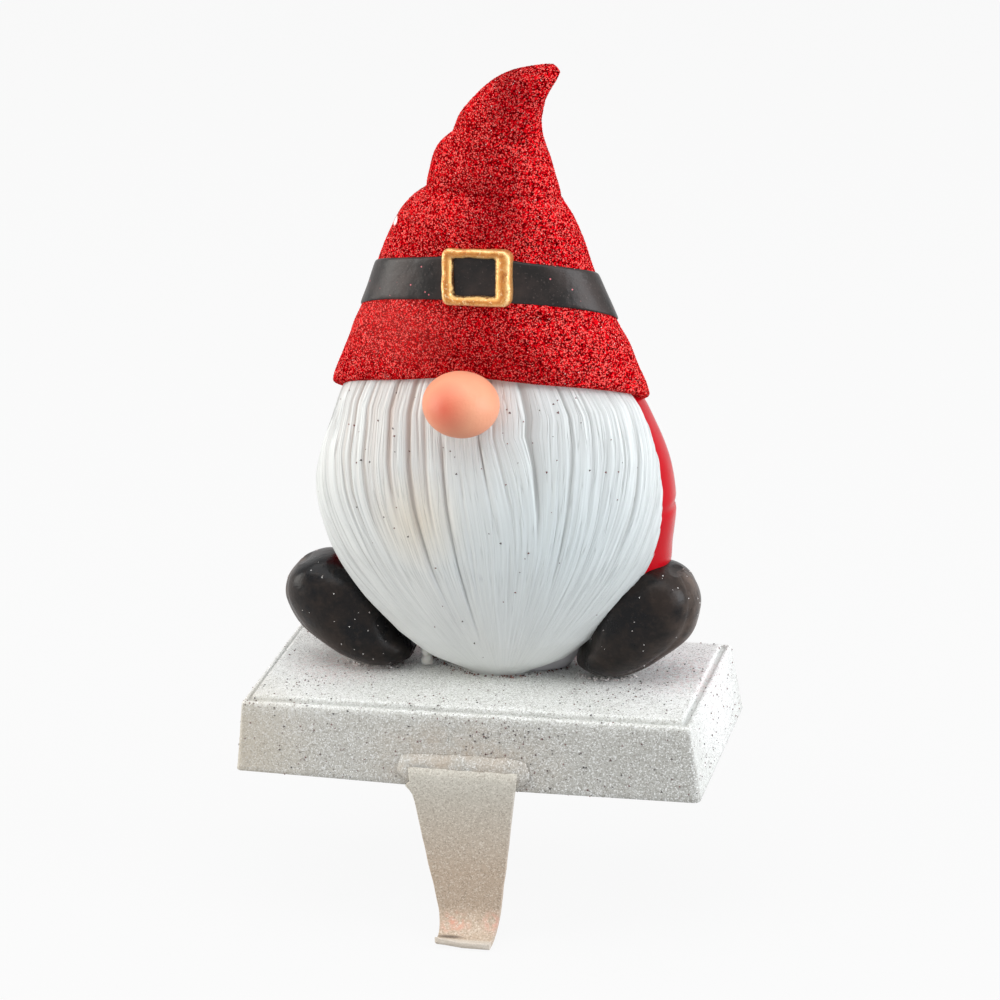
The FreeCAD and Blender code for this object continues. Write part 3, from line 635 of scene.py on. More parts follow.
def makeBeard():
    points, depths, uvs = [], [], []
    columns, backColumns, rows = beard["columns"], beard["backColumns"], beard["rows"]
    for row in range(rows):
        level = beard["lowest"] + beard["span"] * (row / (rows - 1))
        width, swell = levelShape(level)
        halfX, halfY = width * beard["width"] / 2, swell * beard["swell"]
        middle = Vector((figureX, -beard["setback"], plateTop + level * beard["height"]))
        footFade = min(1, max(0.15, (level + 0.02) * 9))
        pinch = 0.7 * mm * bump(level - 0.95, 0.1) + 0.35 * mm * clamp(level * 4 - 1)
        widen = 1.9 * mm * bump(level - 0.92, 0.16)
        for column in range(columns + 1):
            angle = 180 * column / columns
            turn = math.radians(angle)
            depth = carving(angle, level) * footFade
            reach = Vector((-halfX * math.cos(turn), -halfY * math.sin(turn), 0))
            reach.x += pinch * max(0, math.cos(turn)) ** 2      # left side
            reach.x += widen * max(0, -math.cos(turn)) ** 2     # right side
            swellOut = 0.4 * mm * soft((angle / 16, level * 3, 0), 1, 2.9)
            reach *= 1 - (depth - swellOut) / max(reach.length, 1 * mm)
            points.append(middle + reach)
            depths.append(depth / beard["lockDepth"])
            uvs.append((strandAngle(angle, level) / 180, level))
        for column in range(1, backColumns):
            turn = math.pi * column / backColumns
            back = Vector((halfX * math.cos(turn), beard["backSwell"] * halfY * math.sin(turn), 0))
            points.append(middle + back)
            depths.append(0.0)
            uvs.append((1 + column / 40, level))
    across = columns + backColumns
    faces = ringFaces(rows, across)
    faces.append(tuple(reversed(range(across))))
    faces.append(tuple(range((rows - 1) * across, rows * across)))
    piece = makePiece("gnomeBeard", points, faces)
    pointValues(piece, "groove", depths)
    layer = piece.data.uv_layers.new(name="strands")
    for loop in piece.data.loops:
        layer.data[loop.index].uv = uvs[loop.vertex_index]
    return piece


# coat: the smooth back of the body

coat = {"width": 82.4 * mm, "depth": 33 * mm, "height": 68 * mm, "setback": 5.5 * mm,
        "x": figureX + 0.6 * mm, "fullness": 2.4, "columns": 140, "rows": 90, "lumps": 0.3 * mm,
        "nick": 0.5 * mm}

# coat sections: height, half width and half depth
coatSections = [
    (-0.012, 0.35, 0.34), (0.07, 0.46, 0.5), (0.2, 0.7, 0.74), (0.34, 0.93, 0.9),
    (0.47, 0.975, 0.97), (0.6, 1.0, 1.0), (0.74, 0.98, 0.98), (0.87, 0.91, 0.92),
    (0.99, 0.81, 0.84), (1.1, 0.63, 0.7),
]


def makeCoat():
    rings = []
    for row in range(coat["rows"] + 1):
        level, width, depth = easedRow(coatSections, row / coat["rows"])
        middle = Vector((coat["x"], coat["setback"], plateTop + max(level, 0) * coat["height"]))
        ring = []
        for turn, c, s in circle(coat["columns"]):
            reach = fullReach(c, s, coat["fullness"])
            out = Vector((width * coat["width"] / 2 * c * reach, depth * coat["depth"] / 2 * s * reach, 0))
            nick = coat["nick"] * bump(level - 0.6, 0.012) * max(0, c)   # dented line on the right side
            out *= 1 + (coat["lumps"] * soft(middle + out, 14 * mm, 6.4) - nick) / out.length
            ring.append(middle + out)
        rings.append(ring)
    return closedSkin("gnomeCoat", rings)


# boots: two beans that lean outwards, with a soft line above the sole

boots = {"length": 36 * mm, "depth": 20 * mm, "gap": 39.2 * mm, "angle": 3.5, "shift": -0.7 * mm,
         "columns": 96, "rows": 72, "soleLine": 0.3 * mm, "lumps": 0.4 * mm, "bulges": (0.8 * mm, 0.3 * mm),
         "inner": 0.16, "fullness": 2.5, "forward": 0.9 * mm, "endRings": (0.85, 0.68, 0.5, 0.3, 0.12)}

# boot sections: lower, outer side (across, up), upper, inner side (across, up), half depth
bootSections = [
    (0.033, 0.044, 0.0, 0.122, 0.3), (0.133, 0.0, 0.053, 0.222, 0.66), (0.283, -0.01, 0.156, 0.306, 0.86),
    (0.467, 0.05, 0.258, 0.406, 0.96), (0.647, 0.156, 0.347, 0.517, 1.0), (0.78, 0.294, 0.417, 0.628, 1.0),
    (0.838, 0.45, 0.48, 0.69, 0.92), (0.813, 0.585, 0.562, 0.738, 0.72), (0.75, 0.668, 0.655, 0.712, 0.36),
]


def makeBoot(name, side, angle):
    start = Vector((figureX + boots["shift"] + side * boots["gap"] / 2,
                    boots["depth"] * 0.12 - boots["forward"], plateTop))
    lean = Matrix.Translation(start) @ Matrix.Rotation(math.radians(-side * angle), 4, "Y")
    lean = lean @ Matrix.Translation(-start)
    rows = boots["rows"]
    rings, rims = [], []
    for row in range(rows + 1):
        lowX, lowZ, highX, highZ, deep = easedRow(bootSections, row / rows)
        fuller = math.sin(math.pi * clamp(1.2 * row / rows - 0.16))
        highX -= boots["inner"] * fuller ** 1.6   # the inner side sinks into the beard
        low = start + Vector((side * lowX, 0, lowZ)) * boots["length"]
        high = start + Vector((side * highX, 0, highZ)) * boots["length"]
        middle, half = (low + high) / 2, (high - low) / 2
        reach = Vector((0, deep * boots["depth"] / 2, 0))
        outward = half.cross(reach).normalized() * side
        caps = [(0, 1)]
        if row in (0, rows):                      # rounded ends
            bulge = -boots["bulges"][0] if row == 0 else boots["bulges"][1]
            caps += [(bulge * (1 - size * size), size) for size in boots["endRings"]]
            if row == 0:
                caps.reverse()
        for push, size in caps:
            ring, rim = [], []
            for turn, c, s in circle(boots["columns"]):
                rim.append(max(0, -c) ** 3)
                full = fullReach(c, s, boots["fullness"])
                out = (half * c + reach * s) * size * (1 + (full - 1) * fuller if c > 0 else 1)
                degrees = math.degrees(turn)
                line = bump(degrees - 214, 5) + bump(degrees - 146, 5)
                wave = boots["lumps"] * soft(middle + out, 8 * mm, 3.8) * size
                out *= 1 + (wave - boots["soleLine"] * line * size) / max(out.length, 1 * mm)
                point = lean @ (middle + out + outward * push)
                point.z = max(point.z, plateTop)
                ring.append(point)
            rings.append(ring if side < 0 else ring[::-1])
            rims += rim if side < 0 else rim[::-1]
    piece = closedSkin(name, rings)
    pointValues(piece, "rimShare", rims + [0.0, 0.0])
    return piece


# base: a cast block under thick paint and glitter

base = {"draft": 2 * mm, "corner": 1.4 * mm, "ledge": 2 * mm, "perSide": 90, "perCorner": 6, "plateRings": 12,
        "lumps": 0.1 * mm, "inside": 0.2 * mm, "sag": 0.9 * mm, "sagHeight": 5 * mm, "sideRings": 16}


def baseProfile(halfY):
    # from under the foot up over the rim, the ledge and the plate: (inset, height)
    foot, top, edge = baseLow[2], baseHigh[2], base["draft"]
    wall = edge + base["ledge"]
    profile = [(8 * mm, foot), (2.9 * mm, foot), (2.4 * mm, foot), (0.5 * mm, foot),
               (0.15 * mm, foot + 0.08 * mm), (0.04 * mm, foot + 0.25 * mm)]
    for step in range(1, base["sideRings"] + 1):
        height = foot + 0.25 * mm + (rimZ - 0.85 * mm - foot) * step / base["sideRings"]
        profile.append((0.04 * mm + (height - foot) / (rimZ - foot) * edge, height))
    for start, level, steps in (
            (edge, rimZ, ((0.08, -0.35), (0.3, -0.1), (0.6, 0), (0.85, 0), (1.05, -0.12), (1.3, -0.4),
                          (1.85, -0.5))),
            (wall, rimZ, ((0.05, -0.2),)),
            (wall, top, ((0.12, -0.35), (0.35, -0.1), (0.7, 0), (1.2, 0)))):
        profile += [(start + inset * mm, level + rise * mm) for inset, rise in steps]
    reach = halfY - 1.5 * mm - wall - 1.2 * mm
    for step in range(1, base["plateRings"] + 1):
        profile.append((wall + 1.2 * mm + reach * step / base["plateRings"], top))
    return profile


def makeBase():
    halfX, halfY = ((baseHigh[axis] - baseLow[axis]) / 2 - base["inside"] for axis in (0, 1))
    foot, wall = baseLow[2], base["draft"] + base["ledge"]
    rings, shares, lines = [], [], []
    for inset, height in baseProfile(halfY):
        onTop = height > rimZ - 0.5 * mm
        inGroove = base["draft"] + 1.0 * mm < inset < wall + 0.1 * mm
        radius = max(base["corner"] - 0.4 * inset, 0.45 * mm)
        ring = []
        for x, y in roundedLoop(halfX - inset, halfY - inset, radius, base["perSide"], base["perCorner"]):
            point = Vector((x, y, height))
            lump = base["lumps"] * (soft(point, 4 * mm, 1.9) + 0.6 * soft(point, 1.6 * mm, 4.4))
            if foot + 0.5 * mm < height:
                point.z += min(0, lump - base["lumps"]) * onTop
                outward = Vector((x, y, 0))
                point -= outward * (base["lumps"] + lump) * 0.5 / max(outward.length, mm)
            if inset < 2.6 * mm and height < foot + base["sagHeight"]:   # the front sags at its right
                front = max(0, -y / halfY) if abs(y) > 0.9 * halfY else 0.5 - 0.5 * y / halfY
                drop = base["sag"] * front * clamp((x + 52 * mm) / (38 * mm))
                point.z -= drop * max(0, 1 - (height - foot) / base["sagHeight"])
            ring.append(point)
        rings.append(ring)
        shares += [0.2 if inGroove else 1.0 if onTop else 0.26] * len(ring)
        # edgeLine is 1 in the groove, which the paint darkens as painted shade
        lines += [1.0 if inGroove else 0.0] * len(ring)
    piece = closedSkin("glitterBase", rings)
    pointValues(piece, "chipShare", shares + [0.0, 1.0])
    pointValues(piece, "edgeLine", lines + [0.0, 0.0])
    return piece


# hook: a tapered strap that runs down from the base's face and curls into a lip

hook = {"gauge": 1.5 * mm, "topWidth": 26 * mm, "endWidth": 12.8 * mm, "lap": 4.4 * mm, "drop": 35.8 * mm,
        "bend": 5.6 * mm, "lip": 0.8 * mm, "lipRise": 10, "perWidth": 30, "soften": 0.28 * mm,
        "sink": 0.95 * mm, "flare": 1.3 * mm, "curl": 0.9 * mm, "tabRings": 8, "dropRings": 30,
        "bendRings": 24, "lipRings": 4}


def strapPath():
    # middle line of the strap from the tab's top to the lip: (y, z, outward y, outward z)
    foot, face = baseLow[2], baseLow[1]
    lean = math.atan2(base["draft"], rimZ - foot)
    half = hook["gauge"] / 2
    path = []
    for step in range(hook["tabRings"]):
        z = foot + hook["lap"] * (1 - step / hook["tabRings"])
        y = face + (z - foot) * math.tan(lean)
        path.append((y - half * math.cos(lean), z + half * math.sin(lean), -math.cos(lean), math.sin(lean)))
    centreY = face - hook["gauge"] - hook["bend"]
    centreZ = hook["bend"] + hook["gauge"] - hook["drop"]
    for step in range(hook["dropRings"]):
        z = foot - 0.3 * mm + (centreZ - foot + 0.3 * mm) * step / hook["dropRings"]
        path.append((face - half, z, -1, 0))
    for step in range(hook["bendRings"] + 1):
        turn = math.radians(-(90 + hook["lipRise"]) * step / hook["bendRings"])
        c, s = math.cos(turn), math.sin(turn)
        path.append((centreY + (hook["bend"] + half) * c, centreZ + (hook["bend"] + half) * s, -c, -s))
    y, z, outY, outZ = path[-1]
    for step in range(1, hook["lipRings"] + 1):
        reach = hook["lip"] * step / hook["lipRings"]
        path.append((y - outZ * reach, z + outY * reach, outY, outZ))
    return path


def makeHook():
    path = strapPath()
    foot, top, last = baseLow[2], baseLow[2] + hook["lap"], len(path) - 1
    rings = []
    for index, (y, z, outY, outZ) in enumerate(path):
        share = clamp((top - z) / (top + hook["drop"]))
        halfWide = (hook["topWidth"] + (hook["endWidth"] - hook["topWidth"]) * share) / 2
        flare = hook["flare"] * bump((z - foot) / mm, 1.3) if z < foot + 0.5 * mm else 0
        curl = max(0, index - last + 6) / 6 * hook["curl"]
        pinch = 0.75 if index in (0, last) else 1
        sunk = hook["sink"] * max(0, 1 - index / 4) ** 1.5   # the tab's top end runs into the base's face
        loop = roundedLoop(halfWide - (1 - pinch) * mm, hook["gauge"] / 2 * pinch, hook["soften"] * pinch,
                           hook["perWidth"], 4)
        ring = []
        for x, across in loop:
            point = Vector((x, y + outY * -across + sunk, z + outZ * -across))
            ripple = 0.09 * mm * soft(point, 6 * mm, 5.7) + 0.05 * mm * soft(point, 2 * mm, 8.8)
            edgeWave = 0.18 * mm * soft((0, point.z, math.copysign(3 * mm, x)), 5 * mm, 1.1)
            point.x += edgeWave * min(1, abs(x) / halfWide) ** 6 * math.copysign(1, x) - 0.05 * mm
            if across < 0 and z < foot:
                point.y += outY * ripple
            left = max(0, -x / halfWide)
            point.x -= flare * left ** 6
            point.z += curl * left - 0.15 * curl
            ring.append(point)
        rings.append(ring)
    return closedSkin("strapHook", rings)


# weld: an uneven bead round the tab, smoothed over by the paint

weld = {"leg": 2.7 * mm, "height": 0.95 * mm, "sides": 24, "step": 0.7 * mm, "start": 0.6 * mm}


def makeWeld():
    face, foot = baseLow[1], baseLow[2]
    slope = base["draft"] / (rimZ - foot)
    halfWide, low, high = hook["topWidth"] / 2, foot + weld["start"], foot + hook["lap"]
    corners = [(-halfWide, low), (-halfWide, high), (halfWide, high), (halfWide, low)]
    route = []
    for (x1, z1), (x2, z2) in zip(corners, corners[1:]):
        count = max(6, int((abs(x2 - x1) + abs(z2 - z1)) / weld["step"]))
        route += [(x1 + (x2 - x1) * step / count, z1 + (z2 - z1) * step / count) for step in range(count)]
    route.append(corners[-1])
    last = len(route) - 1
    outward = Vector((0, -1, slope)).normalized()
    rings = []
    for index, (x, z) in enumerate(route):
        before, after = route[max(index - 1, 0)], route[min(index + 1, last)]
        along = Vector((after[0] - before[0], 0, after[1] - before[1])).normalized()
        aside = along.cross(outward).normalized()
        middle = Vector((x, face + (z - foot) * slope, z))
        ends = min(1, 0.25 + 0.25 * min(index, last - index))
        swell = ends * (1 + 0.18 * soft(middle, 4 * mm, 3.1))
        ring = []
        for turn, c, lift in circle(weld["sides"]):
            rise = weld["height"] * lift ** 2.6 if lift > 0 else 0.25 * mm * lift   # flared foot
            grain = 0.08 * mm * soft(middle + aside * c * mm, 1.4 * mm, 6.1)
            ring.append(middle + aside * c * weld["leg"] * swell + outward * (rise * swell + grain))
        rings.append(ring)
    return closedSkin("weldBead", rings)


# glue: a small double blob that squeezed out beside the left boot

glue = {"grain": 0.16 * mm, "rows": 13, "columns": 20, "drops": [
    (0.05, -0.1, 0.3, 1.0), (0.0, 0.0, 0.76, 0.95), (-0.3, 0.2, 0.12, 0.75), (0.35, 0.3, 0.1, 0.6)]}
# drops: aside, back, up, size


def makeGlue():
    middleX, middleY = ((glueLow[axis] + glueHigh[axis]) / 2 for axis in (0, 1))
    radius = (glueHigh[0] - glueLow[0]) / 2 - 0.05 * mm
    rows, columns = glue["rows"], glue["columns"]
    points, faces = [], []
    for shiftX, shiftY, up, share in glue["drops"]:
        centre = Vector((middleX + shiftX * radius, middleY + shiftY * radius,
                         glueLow[2] + up * (glueHigh[2] - glueLow[2])))
        start = len(points)
        for row in range(rows):
            rise = math.pi * (row + 0.5) / rows - math.pi / 2
            for turn, c, s in circle(columns):
                out = Vector((math.cos(rise) * c, math.cos(rise) * s, math.sin(rise)))
                points.append(centre + out * radius * share * (0.93 + 0.07 * soft(out, 0.6, up)))
        faces += ringFaces(rows, columns, start)
        faces.append(tuple(reversed(range(start, start + columns))))
        faces.append(tuple(range(start + (rows - 1) * columns, start + rows * columns)))
    rough = makePiece("glueRough", points, faces)
    remesh = rough.modifiers.new("blend", "REMESH")
    remesh.mode = "VOXEL"
    remesh.voxel_size = glue["grain"]
    rough.modifiers.new("smooth", "SMOOTH").iterations = 4
    mesh = bakedMesh(rough, "glueBlob")
    smoothFaces(mesh)
    for vertex in mesh.vertices:
        vertex.co.z = max(vertex.co.z, plateTop - 0.05 * mm)
    return addObject("glueBlob", mesh)


# crumbs of glue and glitter where the figure meets the plate

crumbGrid = {"columns": 176, "rows": 52, "step": 0.5, "left": -43, "front": -7}
soles = ((-26, 9), (28, 8))   # middle and half width of each sole's front, in mm


def crumbField():
    # a grid just over the plate, weighted along the foot of the beard and along the soles
    points, crumbShares, crustShares = [], [], []
    for row in range(crumbGrid["rows"]):
        for column in range(crumbGrid["columns"]):
            x = crumbGrid["left"] + column * crumbGrid["step"]
            y = crumbGrid["front"] + row * crumbGrid["step"]
            points.append(Vector((x * mm, y * mm, plateTop)))
            beardLine = -4.3 + ((x - 2.6) / 14.5) ** 2 * 6.5
            crumbShares.append(bump(y - beardLine, 0.7) * (0.5 + 0.5 * bump(x + 19, 7)) * (abs(x - 1) < 21))
            soleX, half = soles[0] if x < 0 else soles[1]
            soleLine = -2.4 + ((x - soleX) / half) ** 2 * 3
            crustShares.append(bump(y - soleLine, 0.7) * (abs(x - soleX) < half))
    faces = ringFaces(crumbGrid["rows"], crumbGrid["columns"], closed=False)
    piece = makePiece("crumbField", points, faces)
    pointValues(piece, "crumbShare", crumbShares)
    pointValues(piece, "crustShare", crustShares)
    return piece


# materials

def hatShade(paint):
    # painted shade down the middle and at the tip, a painted highlight on the left, and a drop of white paint
    # on the left edge
    middle = paint.near((5, -14, 76), 4, 20, (1, 0.3, 1))
    upper = paint.near((9, -8, 112), 2, 14, (1.5, 0.3, 0.7))
    tip = paint.near((13, -4, 140), 2, 11, (1.5, 0.3, 0.7))
    # painted shade down the middle, the upper part and the tip
    paint.lay(paint.math("MAXIMUM", middle, paint.math("MAXIMUM", upper, tip)), (96, 0, 8), 0.42)
    # painted highlight on the left of the brim
    paint.lay(paint.near((-16, -12, 88), 1, 16, (0.8, 0.3, 1.3)), (255, 92, 86), 0.22)
    paint.lay(paint.near((-16, -2.4, 109.2), 1.3, 1.6, (1, 0.6, 1)), (250, 248, 246))


def hatPaint():
    paint = Paint("redGlitter")
    cells, value = paint.grains(0.4)
    fine = paint.grains(0.26, 1)[1]
    paint.blend(paint.ramp(value, 0.35, 0.65), (124, 0, 6), (238, 12, 26))
    paint.lay(paint.ramp(fine, 0.74, 0.8), (255, 104, 98))
    paint.lay(paint.ramp(fine, 0.2, 0.28, 0.85, 0), (82, 0, 2))
    hatShade(paint)
    return paint.finish(Roughness=0.5, Specular_IOR_Level=0.0, Normal=paint.facets(cells, 1.1))


def hatChipPaint():
    paint = Paint("redFlakes")
    shade = paint.named("chipTone")
    paint.blend(paint.ramp(shade, 0.3, 0.5), (114, 0, 4), (254, 32, 38))
    paint.lay(paint.ramp(shade, 0.8, 0.82), (255, 128, 122))
    paint.lay(paint.ramp(shade, 0.988, 0.992), (255, 218, 212))
    hatShade(paint)
    return paint.finish(Roughness=0.5, Specular_IOR_Level=0.0)


def beltPaint():
    paint = Paint("beltBlack")
    worn = paint.noise(7, 4, 0.6)
    paint.blend(paint.ramp(worn, 0.35, 0.7), (22, 18, 17), (56, 46, 43))
    paint.lay(paint.ramp(paint.noise(0.5, 2), 0.62, 0.75, 0, 0.4), (104, 92, 88))
    cells, lone = paint.grains(0.9)
    paint.lay(paint.ramp(lone, 0.955, 0.96), (226, 120, 128), paint.ramp(cells["Distance"], 0.24, 0.16))
    return paint.finish(Roughness=paint.ramp(worn, 0.3, 0.7, 0.3, 0.45), Specular_IOR_Level=0.3,
                        Normal=paint.relief(paint.noise(1.6, 4), 0.14, 0.8))


# across each bar of the buckle: the cream bands are painted highlights and the dark brown at the inner edge is
# painted shade
goldStops = [(0.0, (206, 146, 82)), (0.12, (246, 208, 146)), (0.3, (214, 150, 80)), (0.5, (194, 122, 56)),
             (0.7, (222, 162, 90)), (0.85, (240, 198, 130)), (0.96, (88, 48, 22))]


def bucklePaint():
    paint = Paint("oldGold")
    blot = paint.noise(1.3, 5, 0.7)
    across = paint.math("ADD", paint.named("across"), paint.ramp(blot, 0.3, 0.7, -0.1, 0.1))
    band = paint.add("ShaderNodeValToRGB", {"Fac": across})
    while len(band.color_ramp.elements) < len(goldStops):
        band.color_ramp.elements.new(0.5)
    for element, (spot, color) in zip(band.color_ramp.elements, goldStops):
        element.position = spot
        element.color = tone(*color)
    paint.color = band.outputs["Color"]
    paint.lay(paint.ramp(blot, 0.52, 0.66, 0, 0.75), (164, 92, 40))
    # cream blots: painted glints
    paint.lay(paint.ramp(paint.noise(0.6, 3), 0.58, 0.7, 0, 0.7), (255, 228, 176))
    return paint.finish(Metallic=0.4, Roughness=0.4, Specular_IOR_Level=0.3,
                        Normal=paint.relief(paint.noise(0.8, 3), 0.2, 0.9))


def nosePaint():
    paint = Paint("nosePeach")
    middle = (nose["x"], nose["y"], nose["z"])
    paint.blend(paint.noise(3, 3), (232, 158, 124), (238, 166, 132))
    paint.lay(paint.near((-8, -4, 0), 2, 12, origin=middle), (230, 134, 104), 0.4)
    paint.lay(paint.near((-1.9, -7.6, 1.6), 0.3, 6.2, (1, 1, 0.85), middle), (220, 92, 70), 0.8)
    # darker towards the underside: painted shade
    paint.lay(paint.ramp(paint.axis("Z"), nose["z"] - 3 * mm, nose["z"] - 7.2 * mm), (202, 106, 70), 0.5)
    pitted = paint.relief(paint.cells(0.7)["Distance"], 0.07, 0.4)
    return paint.finish(Roughness=0.45, Specular_IOR_Level=0.3,
                        Normal=paint.relief(paint.noise(0.6, 4), 0.08, 0.7, pitted))


def beardPaint():
    paint = Paint("beardPearl")
    groove = paint.named("groove")
    strands = paint.add("ShaderNodeUVMap", uv_map="strands").outputs["UV"]
    drawn, finer = (paint.add("ShaderNodeMapping", {"Vector": strands, "Scale": scale}).outputs[0]
                    for scale in ((190, 3.5, 1), (110, 2.2, 1)))
    hair = paint.noise(1, 3, 0.6, drawn)
    away = paint.math("ABSOLUTE", paint.math("SUBTRACT", paint.noise(1, 1, 0.5, finer), 0.5))
    upper = paint.ramp(paint.axis("Y", strands), 0.1, 0.5)
    crease = paint.math("MULTIPLY", paint.ramp(away, 0.0, 0.028, 1, 0), upper)
    paint.blend(paint.noise(16, 2), (226, 228, 225), (230, 233, 233))
    paint.lay(paint.near((-9, -18, 44), 1, 13), (230, 216, 192), 0.65)
    paint.lay(paint.near((24, -14, 40), 4, 34), (212, 226, 229), 0.6)
    # painted shade in the grooves
    paint.lay(paint.ramp(groove, 0.35, 1.4, 0, 0.65), (150, 148, 144))
    paint.lay(paint.ramp(hair, 0.35, 0.6, 0.16, 0), (168, 174, 176))
    # painted shade along the fine creases
    paint.lay(crease, (150, 152, 152), 0.25)
    stain = paint.math("MULTIPLY", paint.near((-14, -16, 68), 4, 30), paint.ramp(groove, 0.15, 0.9))
    paint.lay(stain, (186, 158, 144), 0.6)
    return paint.finish(Roughness=0.35, Specular_IOR_Level=0.4,
                        Normal=paint.relief(paint.math("SUBTRACT", hair, crease), 0.18, 0.6))


def coatPaint():
    # red above, and the beard's white where the coat meets the plate at the front
    paint = Paint("coatRed")
    paint.blend(paint.noise(12, 3), (180, 2, 20), (204, 8, 28))
    low = paint.ramp(paint.axis("Z"), plateTop + 18 * mm, plateTop + 17 * mm)
    paint.lay(low, (214, 212, 216), paint.ramp(paint.axis("Y"), 9 * mm, 7 * mm))
    return paint.finish(Roughness=0.24, Specular_IOR_Level=0.16,
                        Normal=paint.relief(paint.noise(2.4, 3), 0.09, 0.6))


def bootPaint():
    # black, with the outer rim lightened to brown: partly worn paint, partly a painted sheen along the edge
    paint = Paint("bootBlack")
    worn = paint.noise(8, 4, 0.6)
    paint.blend(paint.ramp(worn, 0.42, 0.62), (5, 5, 8), (36, 28, 24))
    paint.lay(paint.ramp(paint.noise(1.4, 4, 0.7), 0.5, 0.7, 0, 0.35), (60, 49, 43))
    # lighter brown along the outer rim: worn paint and a painted sheen
    paint.lay(paint.named("rimShare"), (112, 96, 86), paint.ramp(paint.noise(3, 4, 0.6), 0.3, 0.7, 0.1, 0.7))
    return paint.finish(Roughness=paint.ramp(worn, 0.35, 0.65, 0.24, 0.4), Specular_IOR_Level=0.22,
                        Normal=paint.relief(paint.noise(1.1, 4), 0.12, 0.8))


def speckPaint(name, first, second):
    paint = Paint(name)
    paint.blend(paint.ramp(paint.named("chipTone"), 0.2, 0.8), first, second)
    return paint.finish(Roughness=0.4)


def frontShare(paint):
    # 1 on the base's front face, 0 on its other faces
    return paint.ramp(paint.axis("Y"), -23.5 * mm, -24.1 * mm)


def basePaint(name, first, second):
    paint = Paint(name)
    faceFoot = (0, baseLow[1], baseLow[2])
    paint.blend(paint.noise(9, 3), first, second)
    # the front face painted darker than the top, and darker towards its right: painted shade
    front = paint.mix(paint.ramp(paint.axis("X"), -50 * mm, 50 * mm), tone(200, 198, 191), tone(189, 189, 184))
    paint.color = paint.mix(frontShare(paint), paint.color, front)
    for spot, amount in (((46, 4, 0), 1), ((-40, 0, 0), 0.5)):   # painted light: whitens the plate beside the boots, against their shade
        paint.lay(paint.near(spot, 9, 27), (250, 250, 249), amount)
    cells, value = paint.grains(0.25)
    paint.lay(paint.ramp(value, 0.0, 0.34, 0.6, 0), (124, 118, 110))
    paint.lay(paint.ramp(value, 0.72, 0.92, 0, 0.7), (252, 253, 252))
    # the groove between the ledge and the plate painted darker: painted shade
    paint.lay(paint.named("edgeLine"), (156, 158, 154), 0.4)
    rust = paint.near((0, 0, 5), 4, 27, (1, 1, 2.2), faceFoot)
    rust = paint.math("MULTIPLY", rust, paint.ramp(paint.noise(5, 5, 0.7), 0.3, 0.7))
    paint.lay(rust, (188, 170, 150), 0.8)
    paint.lay(paint.near((-55, 0, 6), 4, 22, origin=faceFoot), (196, 184, 164), 0.5)
    for spot, reach in (((-34, 0, 0), 16), ((46, 4, 0), 15)):    # red dust from the hat
        paint.lay(paint.near(spot, 2, reach), (222, 190, 188), paint.ramp(paint.noise(1, 4), 0.4, 0.8))
    smudge = paint.near((-9.8, -26.4, 4.6), 0.4, 2.6, (0.7, 1, 1.6), (0, 0, 0))
    paint.lay(smudge, (138, 140, 142), 0.6)
    return paint.finish(Roughness=0.45, Specular_IOR_Level=0.25, Normal=paint.facets(cells, 0.35))


def baseChipPaint():
    paint = Paint("whiteFlakes")
    shade = paint.named("chipTone")
    paint.blend(paint.ramp(shade, 0.1, 0.8), (170, 170, 168), (255, 255, 255))
    paint.lay(paint.ramp(shade, 0.065, 0.06), (84, 66, 64))
    # chips on the front face painted darker too: painted shade
    paint.lay(frontShare(paint), (168, 166, 160), 0.4)
    return paint.finish(Roughness=0.3, Metallic=0.1)


def hookPaint():
    paint = Paint("strapPaint")
    face = (0, baseLow[1], 0)
    paint.blend(paint.ramp(paint.axis("Z"), -20 * mm, 2 * mm), (197, 178, 158), (203, 199, 188))
    value = paint.grains(0.25)[1]
    paint.lay(paint.ramp(value, 0.0, 0.32, 0.5, 0), (136, 120, 106))
    paint.lay(paint.ramp(value, 0.74, 0.94, 0, 0.45), (242, 236, 226))
    stain = paint.near((-3.2, -3, -32.6), 0.5, 4.6, (1, 1, 1.4), face)
    stain = paint.math("MULTIPLY", stain, paint.ramp(paint.noise(1.6, 3), 0.42, 0.62))
    paint.lay(stain, (222, 158, 136), 0.8)
    edge = paint.near((5.8, -3, -31.8), 0.3, 3.4, origin=face)
    edge = paint.math("MULTIPLY", edge, paint.ramp(paint.noise(1.2, 3), 0.4, 0.6))
    paint.lay(edge, (228, 164, 146), 0.6)
    # the lip's forward end painted lighter: painted highlight
    paint.lay(paint.ramp(paint.axis("Y"), -33.2 * mm, -33.8 * mm, 0, 0.6), (216, 210, 200))
    # dark line in the lip's curl: painted shade
    lipCreaseShade = paint.near((-3.6, -32.6, -34.1), 0.35, 0.9, (0.22, 1, 1), (0, 0, 0))
    paint.lay(lipCreaseShade, (70, 62, 56), 0.75)
    return paint.finish(Roughness=0.5, Specular_IOR_Level=0.3,
                        Normal=paint.relief(paint.noise(0.5, 3), 0.08, 0.6))


def gluePaint():
    paint = Paint("hotGlue")
    paint.blend(paint.noise(1, 2), (236, 233, 226), (246, 244, 238))
    return paint.finish(Roughness=0.3, Subsurface_Weight=0.1, Subsurface_Scale=0.8 * mm)


def padPaint():
    paint = Paint("padRubber")
    paint.blend(paint.noise(1, 3), (30, 30, 31), (44, 44, 45))
    return paint.finish(Roughness=0.8, Normal=paint.relief(paint.cells(0.9)["Distance"], 0.2, 0.6))


# where the loose grains lie

def beardSpeckShare(point):
    # on the front, most just under the hat
    return max(0, -point.y / (20 * mm)) * (0.2 + 1.4 * bump((point.z - hat["brimZ"]) / mm, 12))


def bootSpeckShare(point):
    # in clouds, and dense along the sole
    return 0.5 + 0.5 * soft(point, 9 * mm, 2.5) + 9 * bump((point.z - plateTop) / mm, 0.9)


